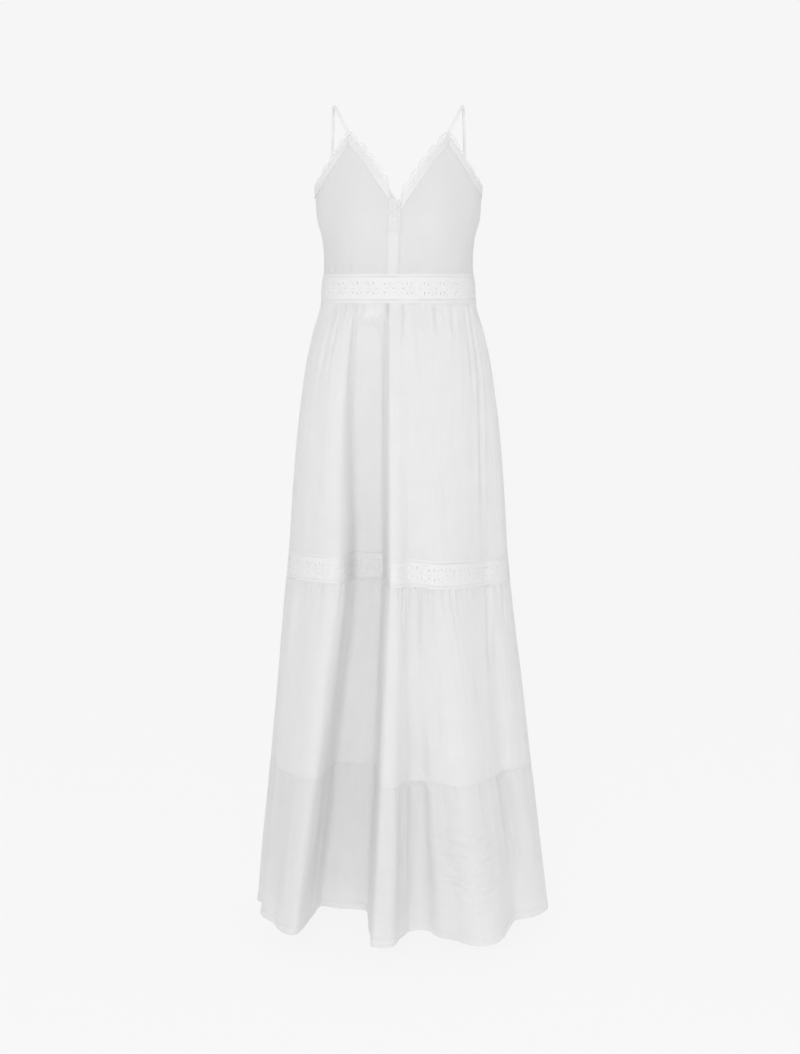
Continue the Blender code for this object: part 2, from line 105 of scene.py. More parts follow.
sectionColumns = ("z", "halfWidth", "front", "back")
sectionTable = [
    (-0.020, 0.1240, 0.070, 0.082),
    (-0.060, 0.1310, 0.090, 0.088),
    (-0.100, 0.1380, 0.107, 0.092),
    (-0.135, 0.1405, 0.118, 0.094),
    (-0.185, 0.1385, 0.124, 0.094),
    (-0.223, 0.1290, 0.118, 0.090),
    (-0.255, 0.1262, 0.108, 0.086),
    (-0.275, 0.1268, 0.104, 0.085),
    (-0.292, 0.1300, 0.104, 0.087),
    (-0.331, 0.1328, 0.105, 0.090),
    (-0.375, 0.1450, 0.113, 0.104),
    (-0.426, 0.1570, 0.119, 0.118),
    (-0.529, 0.1720, 0.126, 0.134),
    (-0.633, 0.1820, 0.130, 0.142),
    (-0.750, 0.1910, 0.133, 0.148),
    (-0.845, 0.2009, 0.138, 0.153),
    (-0.953, 0.2135, 0.144, 0.158),
    (-1.130, 0.2335, 0.153, 0.165),
    (-1.256, 0.2473, 0.161, 0.170),
    (-1.400, 0.2630, 0.170, 0.176),
]
cup = {"angle": 27.0, "spread": 17.0, "z": -0.195, "reach": 0.050, "depth": 0.008}

# Hanging folds, by the degrees round the hem of their two sides: those of the solids, begun more softly

foldColumns = ("left", "right", "leftEdge", "rightEdge", "depth", "startZ", "power")
foldTable = [
    (-88.0, -76.0, 6.0, 6.0, -0.038, -0.84, 1.0),
    (-51.0, -38.0, 5.0, 3.0, 0.032, -0.80, 1.0),
    (-37.6, -11.2, 2.0, 0.9, -0.125, -0.34, 0.52),
    (-11.2, 0.2, 1.2, 2.2, 0.038, -0.34, 0.8),
    (0.8, 13.0, 2.0, 3.5, -0.036, -0.99, 0.7),
    (25.0, 42.0, 7.0, 5.0, 0.064, -0.52, 1.1),
    (50.0, 59.0, 4.0, 5.0, -0.020, -0.34, 0.15),
    (74.0, 88.0, 6.0, 6.0, 0.008, -0.90, 1.0),
    (105.0, 114.0, 5.0, 5.0, -0.032, -0.60, 0.9),
    (124.0, 140.0, 6.0, 6.0, 0.042, -0.45, 0.9),
    (147.0, 161.0, 4.0, 4.0, -0.068, -0.34, 0.7),
    (169.0, 183.0, 5.0, 5.0, 0.042, -0.45, 0.9),
    (196.0, 208.0, 4.0, 4.0, -0.076, -0.36, 0.7),
    (219.0, 237.0, 6.0, 6.0, 0.048, -0.45, 0.9),
    (248.0, 257.0, 5.0, 5.0, -0.026, -0.70, 0.9),
]
leanTable = [
    (-180.0, 0.0, 0.0),
    (-82.0, 0.0, 0.0),
    (-44.0, 3.0, 7.0),
    (-37.4, 5.0, 12.0),
    (-11.3, 3.1, 5.2),
    (7.5, 0.0, 0.0),
    (33.0, -13.0, -12.0),
    (55.0, 9.0, -4.0),
    (85.0, 0.0, 0.0),
    (180.0, 0.0, 0.0),
]
sagTable = [
    (-180.0, 0.0),
    (-85.0, 0.003),
    (-20.0, 0.000),
    (0.0, 0.0008),
    (25.0, 0.0048),
    (55.0, 0.0105),
    (85.0, 0.0145),
    (130.0, 0.0070),
    (180.0, 0.0),
]
neckTable = [
    (0.0, -0.167),
    (6.5, -0.1435),
    (17.0, -0.1070),
    (22.8, -0.0900),
    (30.2, -0.0730),
    (39.0, -0.058),
]
armTable = [
    (39.0, -0.058),
    (45.0, -0.0745),
    (52.0, -0.0950),
    (62.0, -0.1170),
    (73.0, -0.1345),
    (90.0, -0.145),
]


def betweenKnots(t, step, knots, slopes, i):
    # The smooth curve from knot i to the next
    return (
        knots[i] * (2 * t**3 - 3 * t**2 + 1)
        + slopes[i] * step * (t**3 - 2 * t**2 + t)
        + knots[i + 1] * (3 * t**2 - 2 * t**3)
        + slopes[i + 1] * step * (t**3 - t**2)
    )


def steadyCurve(table, column=1):
    # Smooth through every row, and never past them
    rows = sorted(table)
    x = np.array([row[0] for row in rows], float)
    y = np.array([row[column] for row in rows], float)
    step = np.diff(x)
    slope = np.diff(y) / step
    tangent = np.zeros(len(x))
    for i in range(1, len(x) - 1):
        if slope[i - 1] * slope[i] > 0:
            near, far = 2 * step[i] + step[i - 1], step[i] + 2 * step[i - 1]
            tangent[i] = (near + far) / (near / slope[i - 1] + far / slope[i])
    tangent[0], tangent[-1] = slope[0], slope[-1]

    def value(at):
        at = np.clip(np.asarray(at, float), x[0], x[-1])
        i = np.clip(np.searchsorted(x, at) - 1, 0, len(step) - 1)
        return betweenKnots((at - x[i]) / step[i], step[i], y, tangent, i)

    return value


def lengthAlong(points):
    return np.concatenate([[0.0], np.cumsum(np.linalg.norm(np.diff(points, axis=0), axis=1))])


section = {name: steadyCurve(sectionTable, k) for k, name in enumerate(sectionColumns)}
waistLean, laceLean = steadyCurve(leanTable, 1), steadyCurve(leanTable, 2)
sagDrop = steadyCurve(sagTable)
neckHeight, armHeight = steadyCurve(neckTable), steadyCurve(armTable)


def turned(angle):
    return (np.asarray(angle, float) + 180.0) % 360.0 - 180.0


def smoothStep(t):
    t = np.clip(t, 0.0, 1.0)
    return t * t * (3 - 2 * t)


def bell(x):
    return np.exp(-(x**2))


def clothNoise(across, up, seed):
    # Smooth noise from -1 to 1, with one knot per unit each way
    knots = np.random.default_rng(seed).uniform(-1, 1, (257, 257))
    across, up = np.broadcast_arrays(np.asarray(across, float) + 64.37, np.asarray(up, float) + 64.61)
    i, j = np.floor(across).astype(int), np.floor(up).astype(int)
    s, t = smoothStep(across - i), smoothStep(up - j)
    i, j = i % 256, j % 256
    low = knots[j, i] * (1 - s) + knots[j, i + 1] * s
    high = knots[j + 1, i] * (1 - s) + knots[j + 1, i + 1] * s
    return low * (1 - t) + high * t


# The skirt's form: rings of cloth lines, moved by the hanging folds

def lineAngle(line, z):
    atWaist, atLace = waistLean(turned(line)), laceLean(turned(line))
    if z > form["lowerTop"]:
        share = np.clip((form["upperTop"] - z) / (form["upperTop"] - form["lowerTop"]), 0, 1)
        return line + atWaist + (atLace - atWaist) * share
    return line + atLace * (z - form["hem"]) / (form["lowerTop"] - form["hem"])


def foldDepth(line, z):
    total = np.zeros_like(line)
    for row in foldTable:
        fold = dict(zip(foldColumns, row))
        share = (fold["startZ"] - z) / (fold["startZ"] - form["hem"])
        if share > 0:
            away = turned(line - (fold["left"] + fold["right"]) / 2)
            half = (fold["right"] - fold["left"]) / 2
            softer = 2 - min(share, 1)
            left, right = fold["leftEdge"] * softer, fold["rightEdge"] * softer
            swell = np.tanh((away + half) / left) - np.tanh((away - half) / right)
            start = smoothStep((fold["startZ"] - z) / form["foldEase"])
            total += fold["depth"] * start * share ** fold["power"] * swell / 2
    return total


def skirtRing(z, side):
    first = -90.0 if side == "Front" else 90.0
    line = np.linspace(first, first + 180.0, 2400)
    turn = np.radians(lineAngle(line, z))
    depth = np.where(np.cos(turn) > 0, section["front"](z), section["back"](z))
    direction = np.stack([np.sin(turn) ** 5, -np.cos(turn)], axis=1)
    direction /= np.linalg.norm(direction, axis=1)[:, None]
    points = np.stack([section["halfWidth"](z) * np.sin(turn), -depth * np.cos(turn)], axis=1)
    points += direction * foldDepth(line, z)[:, None]
    return {"line": line, "points": points, "along": lengthAlong(points)}


def linesBetweenSeams(ring, lines):
    # The lines brought in by half a seam's gap at both side seams
    along = np.interp(lines, ring["line"], ring["along"])
    half = form["sewn"] / 2
    along = np.clip(along, half, ring["along"][-1] - half)
    return np.interp(along, ring["along"], ring["line"])


def sagged(z, line):
    away = abs(z - (form["skirtLaceTop"] + form["lowerTop"]) / 2)
    return z - max(0.0, 1 - away / form["sagReach"]) * sagDrop(turned(line))


def skirtRow(z, side, lines):
    ring = skirtRing(z, side)
    lines = linesBetweenSeams(ring, lines)
    x = np.interp(lines, ring["line"], ring["points"][:, 0])
    y = np.interp(lines, ring["line"], ring["points"][:, 1])
    return np.stack([x, y, sagged(z, lines)], axis=1)


def gridNormals(points):
    across, up = np.gradient(points, axis=1), np.gradient(points, axis=0)
    normals = np.cross(across, up)
    return normals / np.linalg.norm(normals, axis=2)[:, :, None]


def makeGrid(across, up, points):
    # A surface as rows of points, foot first, with its two measures in metres
    across, up = np.asarray(across), np.asarray(up)
    return {"across": across, "up": up, "points": points, "normals": gridNormals(points)}


def onGrid(grid, across, up):
    columns, rows = grid["across"], grid["up"]
    i = np.clip(np.searchsorted(columns, across) - 1, 0, len(columns) - 2)
    j = np.clip(np.searchsorted(rows, up) - 1, 0, len(rows) - 2)
    s = ((across - columns[i]) / (columns[i + 1] - columns[i]))[:, None]
    t = ((up - rows[j]) / (rows[j + 1] - rows[j]))[:, None]
    found = []
    for values in (grid["points"], grid["normals"]):
        low = values[j, i] * (1 - s) + values[j, i + 1] * s
        high = values[j + 1, i] * (1 - s) + values[j + 1, i + 1] * s
        found.append(low * (1 - t) + high * t)
    return found


# Materials

def linear(hexColour):
    # An sRGB hex value as the linear colour that a shader takes
    channels = [int(hexColour[k : k + 2], 16) / 255 for k in (1, 3, 5)]
    return [c / 12.92 if c <= 0.04045 else ((c + 0.055) / 1.055) ** 2.4 for c in channels] + [1.0]


def addNode(tree, kind, at, settings=None, links=None):
    # Settings are sockets where the node has them, and otherwise the node's own choices
    node = tree.nodes.new(kind)
    node.location = at
    for name, value in (settings or {}).items():
        if isinstance(name, int) or name in node.inputs:
            node.inputs[name].default_value = value
        else:
            setattr(node, name, value)
    for name, source in (links or {}).items():
        tree.links.new(source, node.inputs[name])
    return node


def startMaterial(name):
    material = bpy.data.materials.new(name)
    material.use_nodes = True
    material.node_tree.nodes.clear()
    return material, material.node_tree


def finishCloth(tree, settings, tone, pattern, depth, under):
    # Tone mixes the two whites, and the pattern is a relief over the one under it
    whites = {"data_type": "RGBA", 6: linear(settings["shade"]), 7: linear(settings["white"])}
    colour = addNode(tree, "ShaderNodeMix", (-400, 300), whites, {0: tone})
    relief = addNode(tree, "ShaderNodeBump", (-400, -100), {"Strength": 0.8, "Distance": depth},
                     {"Height": pattern, "Normal": under}).outputs["Normal"]
    finish = {"Roughness": settings["roughness"], "IOR": 1.45, "Specular IOR Level": settings["gloss"],
              "Sheen Weight": 0.15, "Sheen Roughness": settings["sheenRoughness"]}
    shader = addNode(tree, "ShaderNodeBsdfPrincipled", (-100, 0), finish,
                     {"Base Color": colour.outputs[2], "Normal": relief})
    glow = addNode(tree, "ShaderNodeBsdfTranslucent", (-100, -300), {},
                   {"Color": colour.outputs[2], "Normal": relief})
    thin = addNode(tree, "ShaderNodeMixShader", (150, 0), {"Fac": settings["through"]},
                   {1: shader.outputs["BSDF"], 2: glow.outputs["BSDF"]})
    addNode(tree, "ShaderNodeOutputMaterial", (350, 0), {}, {"Surface": thin.outputs["Shader"]})


stripe = 0.31416              # a wave texture of scale 1 repeats after this many metres

# Cotton gauze, plain woven and left crinkled after washing: matt, with fine lengthwise crinkles that
# catch the light, a weave that only just shows, and soft white light through the thin cloth
gauze = {
    "white": "#FAFAFA",
    "shade": "#F6F6F6",
    "through": 0.58,          # share of the light that goes on through each face of the cloth
    "thread": 0.0011,         # real threads are 0.4 mm apart; drawn coarser so that they show
    "threadDepth": 0.00010,
    "crinkleWide": 0.0022,
    "crinkleLong": 0.0140,
    "crinkleDepth": 0.00045,
    "roughness": 0.88,
    "gloss": 0.25,
    "sheenRoughness": 0.6,
}


def wovenCotton(name, settings):
    material, tree = startMaterial(name)
    uv = addNode(tree, "ShaderNodeUVMap", (-1300, 0), {"uv_map": "flatCloth"}).outputs["UV"]
    threads = {"Scale": stripe / settings["thread"], "Distortion": 1.2, "Detail": 1.0}
    lengthwise, crosswise = [
        addNode(tree, "ShaderNodeTexWave", (-900, place), {"bands_direction": way, **threads},
                {"Vector": uv}).outputs["Fac"]
        for way, place in (("X", 250), ("Y", -50))
    ]
    weave = addNode(tree, "ShaderNodeMath", (-650, 100), {"operation": "MULTIPLY"},
                    {0: lengthwise, 1: crosswise})
    stretched = addNode(tree, "ShaderNodeMapping", (-1100, -350),
                        {"Scale": (1 / settings["crinkleWide"], 1 / settings["crinkleLong"], 1.0)},
                        {"Vector": uv})
    crinkle = addNode(tree, "ShaderNodeTexNoise", (-900, -350),
                      {"Scale": 1.0, "Detail": 3.0, "Roughness": 0.55},
                      {"Vector": stretched.outputs["Vector"]})
    patches = addNode(tree, "ShaderNodeTexNoise", (-900, -650), {"Scale": 22.0, "Detail": 2.0},
                      {"Vector": uv})
    crinkled = addNode(tree, "ShaderNodeBump", (-650, -350),
                       {"Strength": 1.0, "Distance": settings["crinkleDepth"]},
                       {"Height": crinkle.outputs["Fac"]})
    finishCloth(tree, settings, patches.outputs["Fac"], weave.outputs["Value"], settings["threadDepth"],
                crinkled.outputs["Normal"])
    return material


# Mercerised crochet cotton: a round, tightly twisted yarn, whiter and a little glossier than the gauze
yarn = {
    "white": "#F8F8F8",
    # the darker white, painted into the grooves between the plies as shade
    "shade": "#F3F3F3",
    "through": 0.22,
    "ply": 0.0009,            # the twist of the yarn's plies
    "plyDepth": 0.00016,
    "fuzzScale": 900.0,
    "fuzzDepth": 0.0001,
    "roughness": 0.72,
    "gloss": 0.35,
    "sheenRoughness": 0.5,
}


def crochetYarn(name, settings):
    material, tree = startMaterial(name)
    place = addNode(tree, "ShaderNodeTexCoord", (-1100, 0)).outputs["Object"]
    ply = addNode(tree, "ShaderNodeTexWave", (-850, 100),
                  {"wave_type": "BANDS", "bands_direction": "DIAGONAL", "Scale": stripe / settings["ply"],
                   "Distortion": 3.0, "Detail": 2.0}, {"Vector": place}).outputs["Fac"]
    fuzz = addNode(tree, "ShaderNodeTexNoise", (-850, -250),
                   {"Scale": settings["fuzzScale"], "Detail": 2.0}, {"Vector": place})
    softened = addNode(tree, "ShaderNodeBump", (-600, -250),
                       {"Strength": 0.5, "Distance": settings["fuzzDepth"]}, {"Height": fuzz.outputs["Fac"]})
    # The ply sets the tone as well as the relief, so the darker white lies in the grooves: painted shade
    # between the plies
    finishCloth(tree, settings, ply, ply, settings["plyDepth"], softened.outputs["Normal"])
    return material


crinkledGauze = wovenCotton("crinkledCottonGauze", gauze)
# The flounce takes a greyer white than the gauze above it: painted shade, for the lowest tier getting less
# light
flounceGauzePaintedShade = wovenCotton("flounceGauzePaintedShade", {**gauze, "white": "#F7F7F7", "shade": "#F4F4F4"})
bodiceGauze = wovenCotton("smoothBodiceGauze",
                          {**gauze, "white": "#F4F4F4", "shade": "#F1F1F1", "crinkleDepth": 0.00018})
crochetCotton = crochetYarn("mercerisedCrochetCotton", yarn)
# Two layers, so less light comes through the placket
placketCotton = wovenCotton("doubledPlacketCotton", {**gauze, "through": 0.48, "crinkleDepth": 0.00025})
# Rolled from several layers, so hardly any light comes through the straps
rolledStrapCotton = wovenCotton("rolledStrapCotton",
                                {**gauze, "white": "#EDEDED", "shade": "#E9E9E9", "through": 0.04,
                                 "threadDepth": 0.00001, "crinkleDepth": 0.00002})
for solid in frame["nodes"].values():
    for materialSlot in solid.material_slots:
        materialSlot.material = crinkledGauze
print("materials made")


# Pieces

def startPiece(name, primitive, **settings):
    # A new primitive, with nothing else selected
    bpy.ops.object.select_all(action="DESELECT")
    primitive(**settings)
    piece = bpy.context.object
    piece.name = name
    return piece


def finishPiece(piece, material, nodes=()):
    piece.data.materials.clear()
    piece.data.materials.append(material)
    bpy.ops.object.select_all(action="DESELECT")
    piece.select_set(True)
    bpy.context.view_layer.objects.active = piece
    bpy.ops.object.shade_smooth_by_angle(angle=math.radians(55))
    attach(piece, "root")
    if nodes:
        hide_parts(*nodes)


def applyModifier(piece, name, kind, settings):
    modifier = piece.modifiers.new(name, kind)
    for key, value in settings.items():
        setattr(modifier, key, value)
    bpy.context.view_layer.objects.active = piece
    bpy.ops.object.modifier_apply(modifier=modifier.name)


def giveWall(piece, thickness):
    # Inwards, so that the outer face stays where it is
    applyModifier(piece, "clothThickness", "SOLIDIFY", {"thickness": thickness, "offset": -1})


def repeatAlong(piece, count, pitch):
    applyModifier(piece, "repeats", "ARRAY", {
        "count": count, "use_relative_offset": False, "use_constant_offset": True,
        "constant_offset_displace": (pitch, 0.0, 0.0),
        "use_merge_vertices": True, "merge_threshold": 0.00001,
    })


def pointsOf(piece):
    points = np.zeros(len(piece.data.vertices) * 3)
    piece.data.vertices.foreach_get("co", points)
    return points.reshape(-1, 3)


def layFlatMap(piece, flatPlaces):
    # The UV map gives each point's place in the flat cloth, in metres
    corners = np.zeros(len(piece.data.loops), int)
    piece.data.loops.foreach_get("vertex_index", corners)
    piece.data.uv_layers.active.name = "flatCloth"
    piece.data.uv_layers.active.data.foreach_set("uv", flatPlaces.reshape(-1, 2)[corners].reshape(-1))


def layCloth(name, grid, flatPlaces, thickness, material, nodes):
    # A grid primitive shaped to the rows of a surface, and given its thickness
    rows, columns = grid["points"].shape[:2]
    piece = startPiece(name, bpy.ops.mesh.primitive_grid_add,
                       x_subdivisions=columns - 1, y_subdivisions=rows - 1, size=1)
    piece.data.vertices.foreach_set("co", grid["points"].reshape(-1))
    layFlatMap(piece, flatPlaces)
    giveWall(piece, thickness)
    finishPiece(piece, material, nodes)
    return piece


def drawYarn(name, strands):
    # Flat crochet: each strand is its points (x, y, height), its yarn radius, and whether it closes
    curve = startPiece(name, bpy.ops.curve.primitive_bezier_curve_add, location=(0, 0, 0)).data
    curve.splines.clear()
    curve.dimensions = "3D"
    curve.bevel_depth = 1.0
    curve.bevel_resolution = 0
    curve.use_fill_caps = True
    for points, radius, closed in strands:
        spline = curve.splines.new("POLY")
        spline.points.add(len(points) - 1)
        radii = np.broadcast_to(radius, len(points))
        for knot, (x, y, z), size in zip(spline.points, points, radii):
            knot.co = (x, y, z, 1.0)
            knot.radius = size
        spline.use_cyclic_u = closed
    bpy.ops.object.convert(target="MESH")
    return bpy.context.object


def openGround(name, settings, foot, tall, isOpen):
    # The close stitches of one repeat, as cells from which the open ones are taken
    piece = startPiece(name, bpy.ops.mesh.primitive_grid_add,
                       x_subdivisions=settings["columns"], y_subdivisions=settings["rows"], size=1)
    ground = bmesh.new()
    ground.from_mesh(piece.data)
    for corner in ground.verts:
        corner.co.x = (corner.co.x + 0.5) * settings["repeat"]
        corner.co.y = foot + (corner.co.y + 0.5) * tall
    openCells = [face for face in ground.faces if isOpen(*face.calc_center_median()[:2])]
    bmesh.ops.delete(ground, geom=openCells, context="FACES")
    ground.to_mesh(piece.data)
    ground.free()
    return piece


def bendOnto(piece, grid, stretch=1.0, flatten=1.0, lift=0.0):
    # A flat piece laid on a surface: x along it, y up it, z off it
    flat = pointsOf(piece)
    points, normals = onGrid(grid, flat[:, 0] * stretch, flat[:, 1])
    normals /= np.linalg.norm(normals, axis=1)[:, None]
    placed = points + normals * (flat[:, 2] * flatten + lift)[:, None]
    piece.data.vertices.foreach_set("co", placed.reshape(-1))
    piece.data.update()


stitching = {"pitch": 0.0034, "radius": 0.00034, "inset": 0.002, "lift": 0.00015}


def stitchRow(name, grid, up):
    # A row of machine stitches on a surface, modelled once and repeated
    start, end = stitching["inset"], grid["across"][-1] - stitching["inset"]
    count = max(1, round((end - start) / stitching["pitch"]))
    pitch = (end - start) / count
    x = np.linspace(0.12, 0.80, 4) * pitch + start
    bow = np.array([-0.3, 0.5, 0.5, -0.3]) * stitching["radius"]
    row = drawYarn(name, [(np.stack([x, np.full(4, up), bow], axis=1), stitching["radius"], False)])
    repeatAlong(row, count, pitch)
    bendOnto(row, grid, lift=stitching["lift"])
    finishPiece(row, crochetCotton)
    return row


# Gathered tiers: each is laid from its seam down, with furrows, small gathers, crinkles and its hem

tierSettings = {
    "upperSkirt": {
        "node": "upper_skirt", "hangsFrom": "waist_lace", "top": "upperTop", "foot": "skirtLaceTop",
        "column": 0.0026, "row": 0.0046, "gatherPitch": 0.0085, "gatherDepth": 0.0013, "gatherLong": 0.020,
        "broad": 0.0016, "seed": 11, "cloth": crinkledGauze,
    },
    "lowerSkirt": {
        "node": "lower_skirt", "hangsFrom": "skirt_lace", "top": "lowerTop", "foot": "flounceTop",
        "column": 0.0030, "row": 0.0045, "gatherPitch": 0.0090, "gatherDepth": 0.0026, "gatherLong": 0.021,
        "broad": 0.0018, "seed": 23, "cloth": crinkledGauze,
    },
    "flounce": {
        "node": "flounce", "hangsFrom": "lower_skirt", "top": "flounceTop", "foot": "hem",
        "column": 0.0034, "row": 0.0028, "gatherPitch": 0.0100, "gatherDepth": 0.0019, "gatherLong": 0.010,
        "broad": 0.0020, "seed": 37, "cloth": flounceGauzePaintedShade,
    },
}
clothForm = {
    "thickness": 0.0009,
    "gatherEase": 0.004,      # lengths over which the cloth, flat at its seams, takes up its form
    "topEase": 0.010,
    "footEase": 0.012,
    "sideEase": 0.016,
    "seamDepth": 0.0007,      # how far a side seam and the hem's stitching draw the cloth in
    "stitchDepth": 0.0008,
    "hemThicker": 0.0006,
    "streaks": 0.00045,
}
seamZone = 0.012              # rows are closer here, under the upper seam
hemDepth = 0.012
backCoarser = 1.45            # the back halves' grids are this much wider each way

# Furrows that the photograph shows, by cloth line and height at top and foot, then half width and depth

furrowColumns = ("lineTop", "top", "lineFoot", "foot", "halfWidth", "depth")
furrows = {
    "upperSkirtFront": [
        (54.9, -0.331, 52.0, -0.700, 0.0060, 0.0060),
        (50.0, -0.331, 48.5, -0.480, 0.0040, 0.0022),
        (43.5, -0.331, 43.5, -0.390, 0.0036, 0.0042),
        (37.5, -0.331, 37.5, -0.385, 0.0036, 0.0040),
        (2.0, -0.331, 1.5, -0.390, 0.0040, 0.0040),
        (14.0, -0.331, 24.0, -0.460, 0.0070, 0.0020),
        (-31.7, -0.331, -34.0, -0.390, 0.0045, 0.0024),
        (-22.0, -0.331, -22.0, -0.380, 0.0036, 0.0020),
        (-16.8, -0.331, -17.0, -0.390, 0.0040, 0.0022),
        (-44.4, -0.331, -45.0, -0.380, 0.0036, 0.0030),
        (-48.8, -0.331, -50.0, -0.480, 0.0045, 0.0024),
        (-56.0, -0.331, -58.0, -0.540, 0.0050, 0.0016),
    ],
    "lowerSkirtFront": [
        (-0.1, -0.797, -0.5, -0.860, 0.0045, 0.0034),
        (5.5, -0.797, 5.0, -0.840, 0.0040, 0.0026),
        (13.0, -0.797, 12.0, -0.930, 0.0055, 0.0036),
        (26.6, -0.797, 26.0, -0.850, 0.0045, 0.0020),
        (40.0, -0.797, 40.0, -0.850, 0.0040, 0.0020),
        (56.0, -0.797, 52.0, -0.960, 0.0055, 0.0032),
        (68.9, -0.797, 68.0, -0.860, 0.0045, 0.0026),
        (-28.0, -0.797, -28.0, -0.840, 0.0035, 0.0020),
        (-20.0, -0.797, -20.0, -0.835, 0.0035, 0.0022),
        (-15.0, -0.797, -15.0, -0.830, 0.0035, 0.0022),
        (9.0, -0.960, 9.0, -1.420, 0.0130, 0.0065),
    ],
    "flounceFront": [
        (9.5, -1.110, 9.0, -1.760, 0.0190, 0.0070),
        (52.6, -1.132, 64.0, -1.350, 0.0150, 0.0120),
        (60.0, -1.240, 58.0, -1.370, 0.0050, 0.0024),
        (-72.0, -1.135, -78.0, -1.340, 0.0070, 0.0030),
    ],
}

# Patches of crosswise crinkles: cloth line, height, reach across and up, depth

crinklePatches = {
    "flounceFront": [
        (32.0, -1.270, 0.075, 0.085, 0.0027),
        (-7.0, -1.300, 0.018, 0.070, 0.0014),
        (-30.0, -1.160, 0.030, 0.020, 0.0006),
        (10.0, -1.360, 0.060, 0.030, 0.0005),
    ],
    "flounceBack": [
        (150.0, -1.290, 0.070, 0.070, 0.0009),
        (214.0, -1.250, 0.060, 0.060, 0.0008),
    ],
    "lowerSkirtFront": [
        (-30.0, -1.105, 0.025, 0.014, 0.0006),
    ],
}


def gatheredRelief(tier, side, lines, across, heights):
    # How far the cloth stands off its hanging form, over the whole tier
    settings = tierSettings[tier]
    top, foot = form[settings["top"]], form[settings["foot"]]
    width = across[-1]
    below = (top - heights)[:, None]
    aboveFoot = (heights - foot)[:, None]
    u = across[None, :]
    hemmed = tier == "flounce"
    fromSide = np.minimum(u, width - u)
    fadeTop = smoothStep(below / clothForm["topEase"])
    fadeFoot = 1.0 if hemmed else smoothStep(aboveFoot / clothForm["footEase"])
    relief = np.zeros((len(heights), len(across)))

    rng = np.random.default_rng(settings["seed"] + (0 if side == "Front" else 100))
    count = int(width / settings["gatherPitch"])
    places = (np.arange(count) + 0.5 + rng.uniform(-0.38, 0.38, count)) * width / count
    depths = settings["gatherDepth"] * rng.uniform(0.35, 1.5, count)
    lengths = settings["gatherLong"] * np.exp(rng.normal(0.0, 0.55, count))
    widths = settings["gatherPitch"] * rng.uniform(0.22, 0.36, count)
    leans = rng.normal(0.0, 0.05, count)
    for place, depth, length, wide, lean in zip(places, depths, lengths, widths, leans):
        away = (u - place - lean * below) / wide
        gather = depth * bell(away) * np.exp(-((below / length) ** 1.3))
        relief -= gather * smoothStep(below / clothForm["gatherEase"])

    for row in furrows.get(tier + side, ()):
        furrow = dict(zip(furrowColumns, row))
        ends = np.interp([furrow["lineTop"], furrow["lineFoot"]], lines, across)
        t = (furrow["top"] - heights) / (furrow["top"] - furrow["foot"])
        centre = ends[0] + (ends[1] - ends[0]) * np.clip(t, 0, 1) + 0.0015 * np.sin(7 * t)
        onset = 0.03 if furrow["top"] > top - 0.02 else 0.30
        strength = smoothStep((t + 0.01) / onset) * (1 - smoothStep((t - 0.45) / 0.75))
        away = (u - centre[:, None]) / furrow["halfWidth"]
        shape = -np.exp(-np.abs(away) ** 1.7)
        shape += 0.34 * (bell(away - 2.0) + bell(away + 2.0))
        ramp = smoothStep(below / (0.003 + 1.3 * furrow["depth"]))
        relief += furrow["depth"] * strength[:, None] * shape * ramp * fadeFoot

    seed = settings["seed"] * 7 + (0 if side == "Front" else 3)
    broad = settings["broad"] * fadeTop * fadeFoot
    relief += broad * clothNoise(u / 0.034, below / 0.23, seed)
    relief += 0.4 * broad * clothNoise(u / 0.014, below / 0.16, seed + 1)
    streakFade = smoothStep(below / 0.006) * smoothStep((aboveFoot + (0.02 if hemmed else 0)) / 0.010)
    relief += clothForm["streaks"] * streakFade * clothNoise(u / 0.0056, below / 0.050, seed + 2)

    for line, z, reachAcross, reachUp, depth in crinklePatches.get(tier + side, ()):
        centre = float(np.interp(line, lines, across))
        inside = np.exp(-(((u - centre) / reachAcross) ** 2) - ((heights[:, None] - z) / reachUp) ** 2)
        wandering = below + 0.004 * clothNoise(u / 0.022, below / 0.030, seed + 4)
        ripple = clothNoise(u / 0.021, wandering / 0.0058, seed + 5)
        relief += depth * inside * np.sign(ripple) * np.abs(ripple) ** 0.8

    relief *= smoothStep((fromSide - 0.001) / clothForm["sideEase"])
    relief -= clothForm["seamDepth"] * bell(fromSide / 0.0022)
    if hemmed:
        turnedIn = smoothStep((hemDepth + 0.0015 - aboveFoot) / 0.002) * smoothStep(aboveFoot / 0.002)
        relief += clothForm["hemThicker"] * turnedIn
        relief -= clothForm["stitchDepth"] * bell((aboveFoot - hemDepth) / 0.0011)
    return relief


def tierGrid(tier, side):
    settings = tierSettings[tier]
    top = form[settings["top"]] - form["sewn"]
    foot = form[settings["foot"]]
    ring = skirtRing(foot, side)
    width = ring["along"][-1]
    coarser = backCoarser if side == "Back" else 1.0
    count = round(width / settings["column"] / coarser)
    across = np.linspace(0, width, count + 1)
    lines = np.interp(across, ring["along"], ring["line"])
    rowCount = round((top - foot - seamZone) / settings["row"] / coarser)
    heights = np.concatenate([
        np.linspace(foot, top - seamZone, rowCount, endpoint=False),
        top - np.array([seamZone, 0.009, 0.0065, 0.0045, 0.003, 0.0015, 0.0]),
    ])
    if tier == "flounce":
        hemRows = foot + np.array([0.0, 0.0015, 0.003, 0.006, 0.009, 0.0105, 0.0115, 0.0125, 0.0135])
        heights = np.concatenate([hemRows, heights[heights > foot + 0.0145]])
    points = np.array([skirtRow(z, side, lines) for z in heights])
    relief = gatheredRelief(tier, side, lines, across, heights)
    points += gridNormals(points) * relief[:, :, None]
    return makeGrid(across, heights, points)


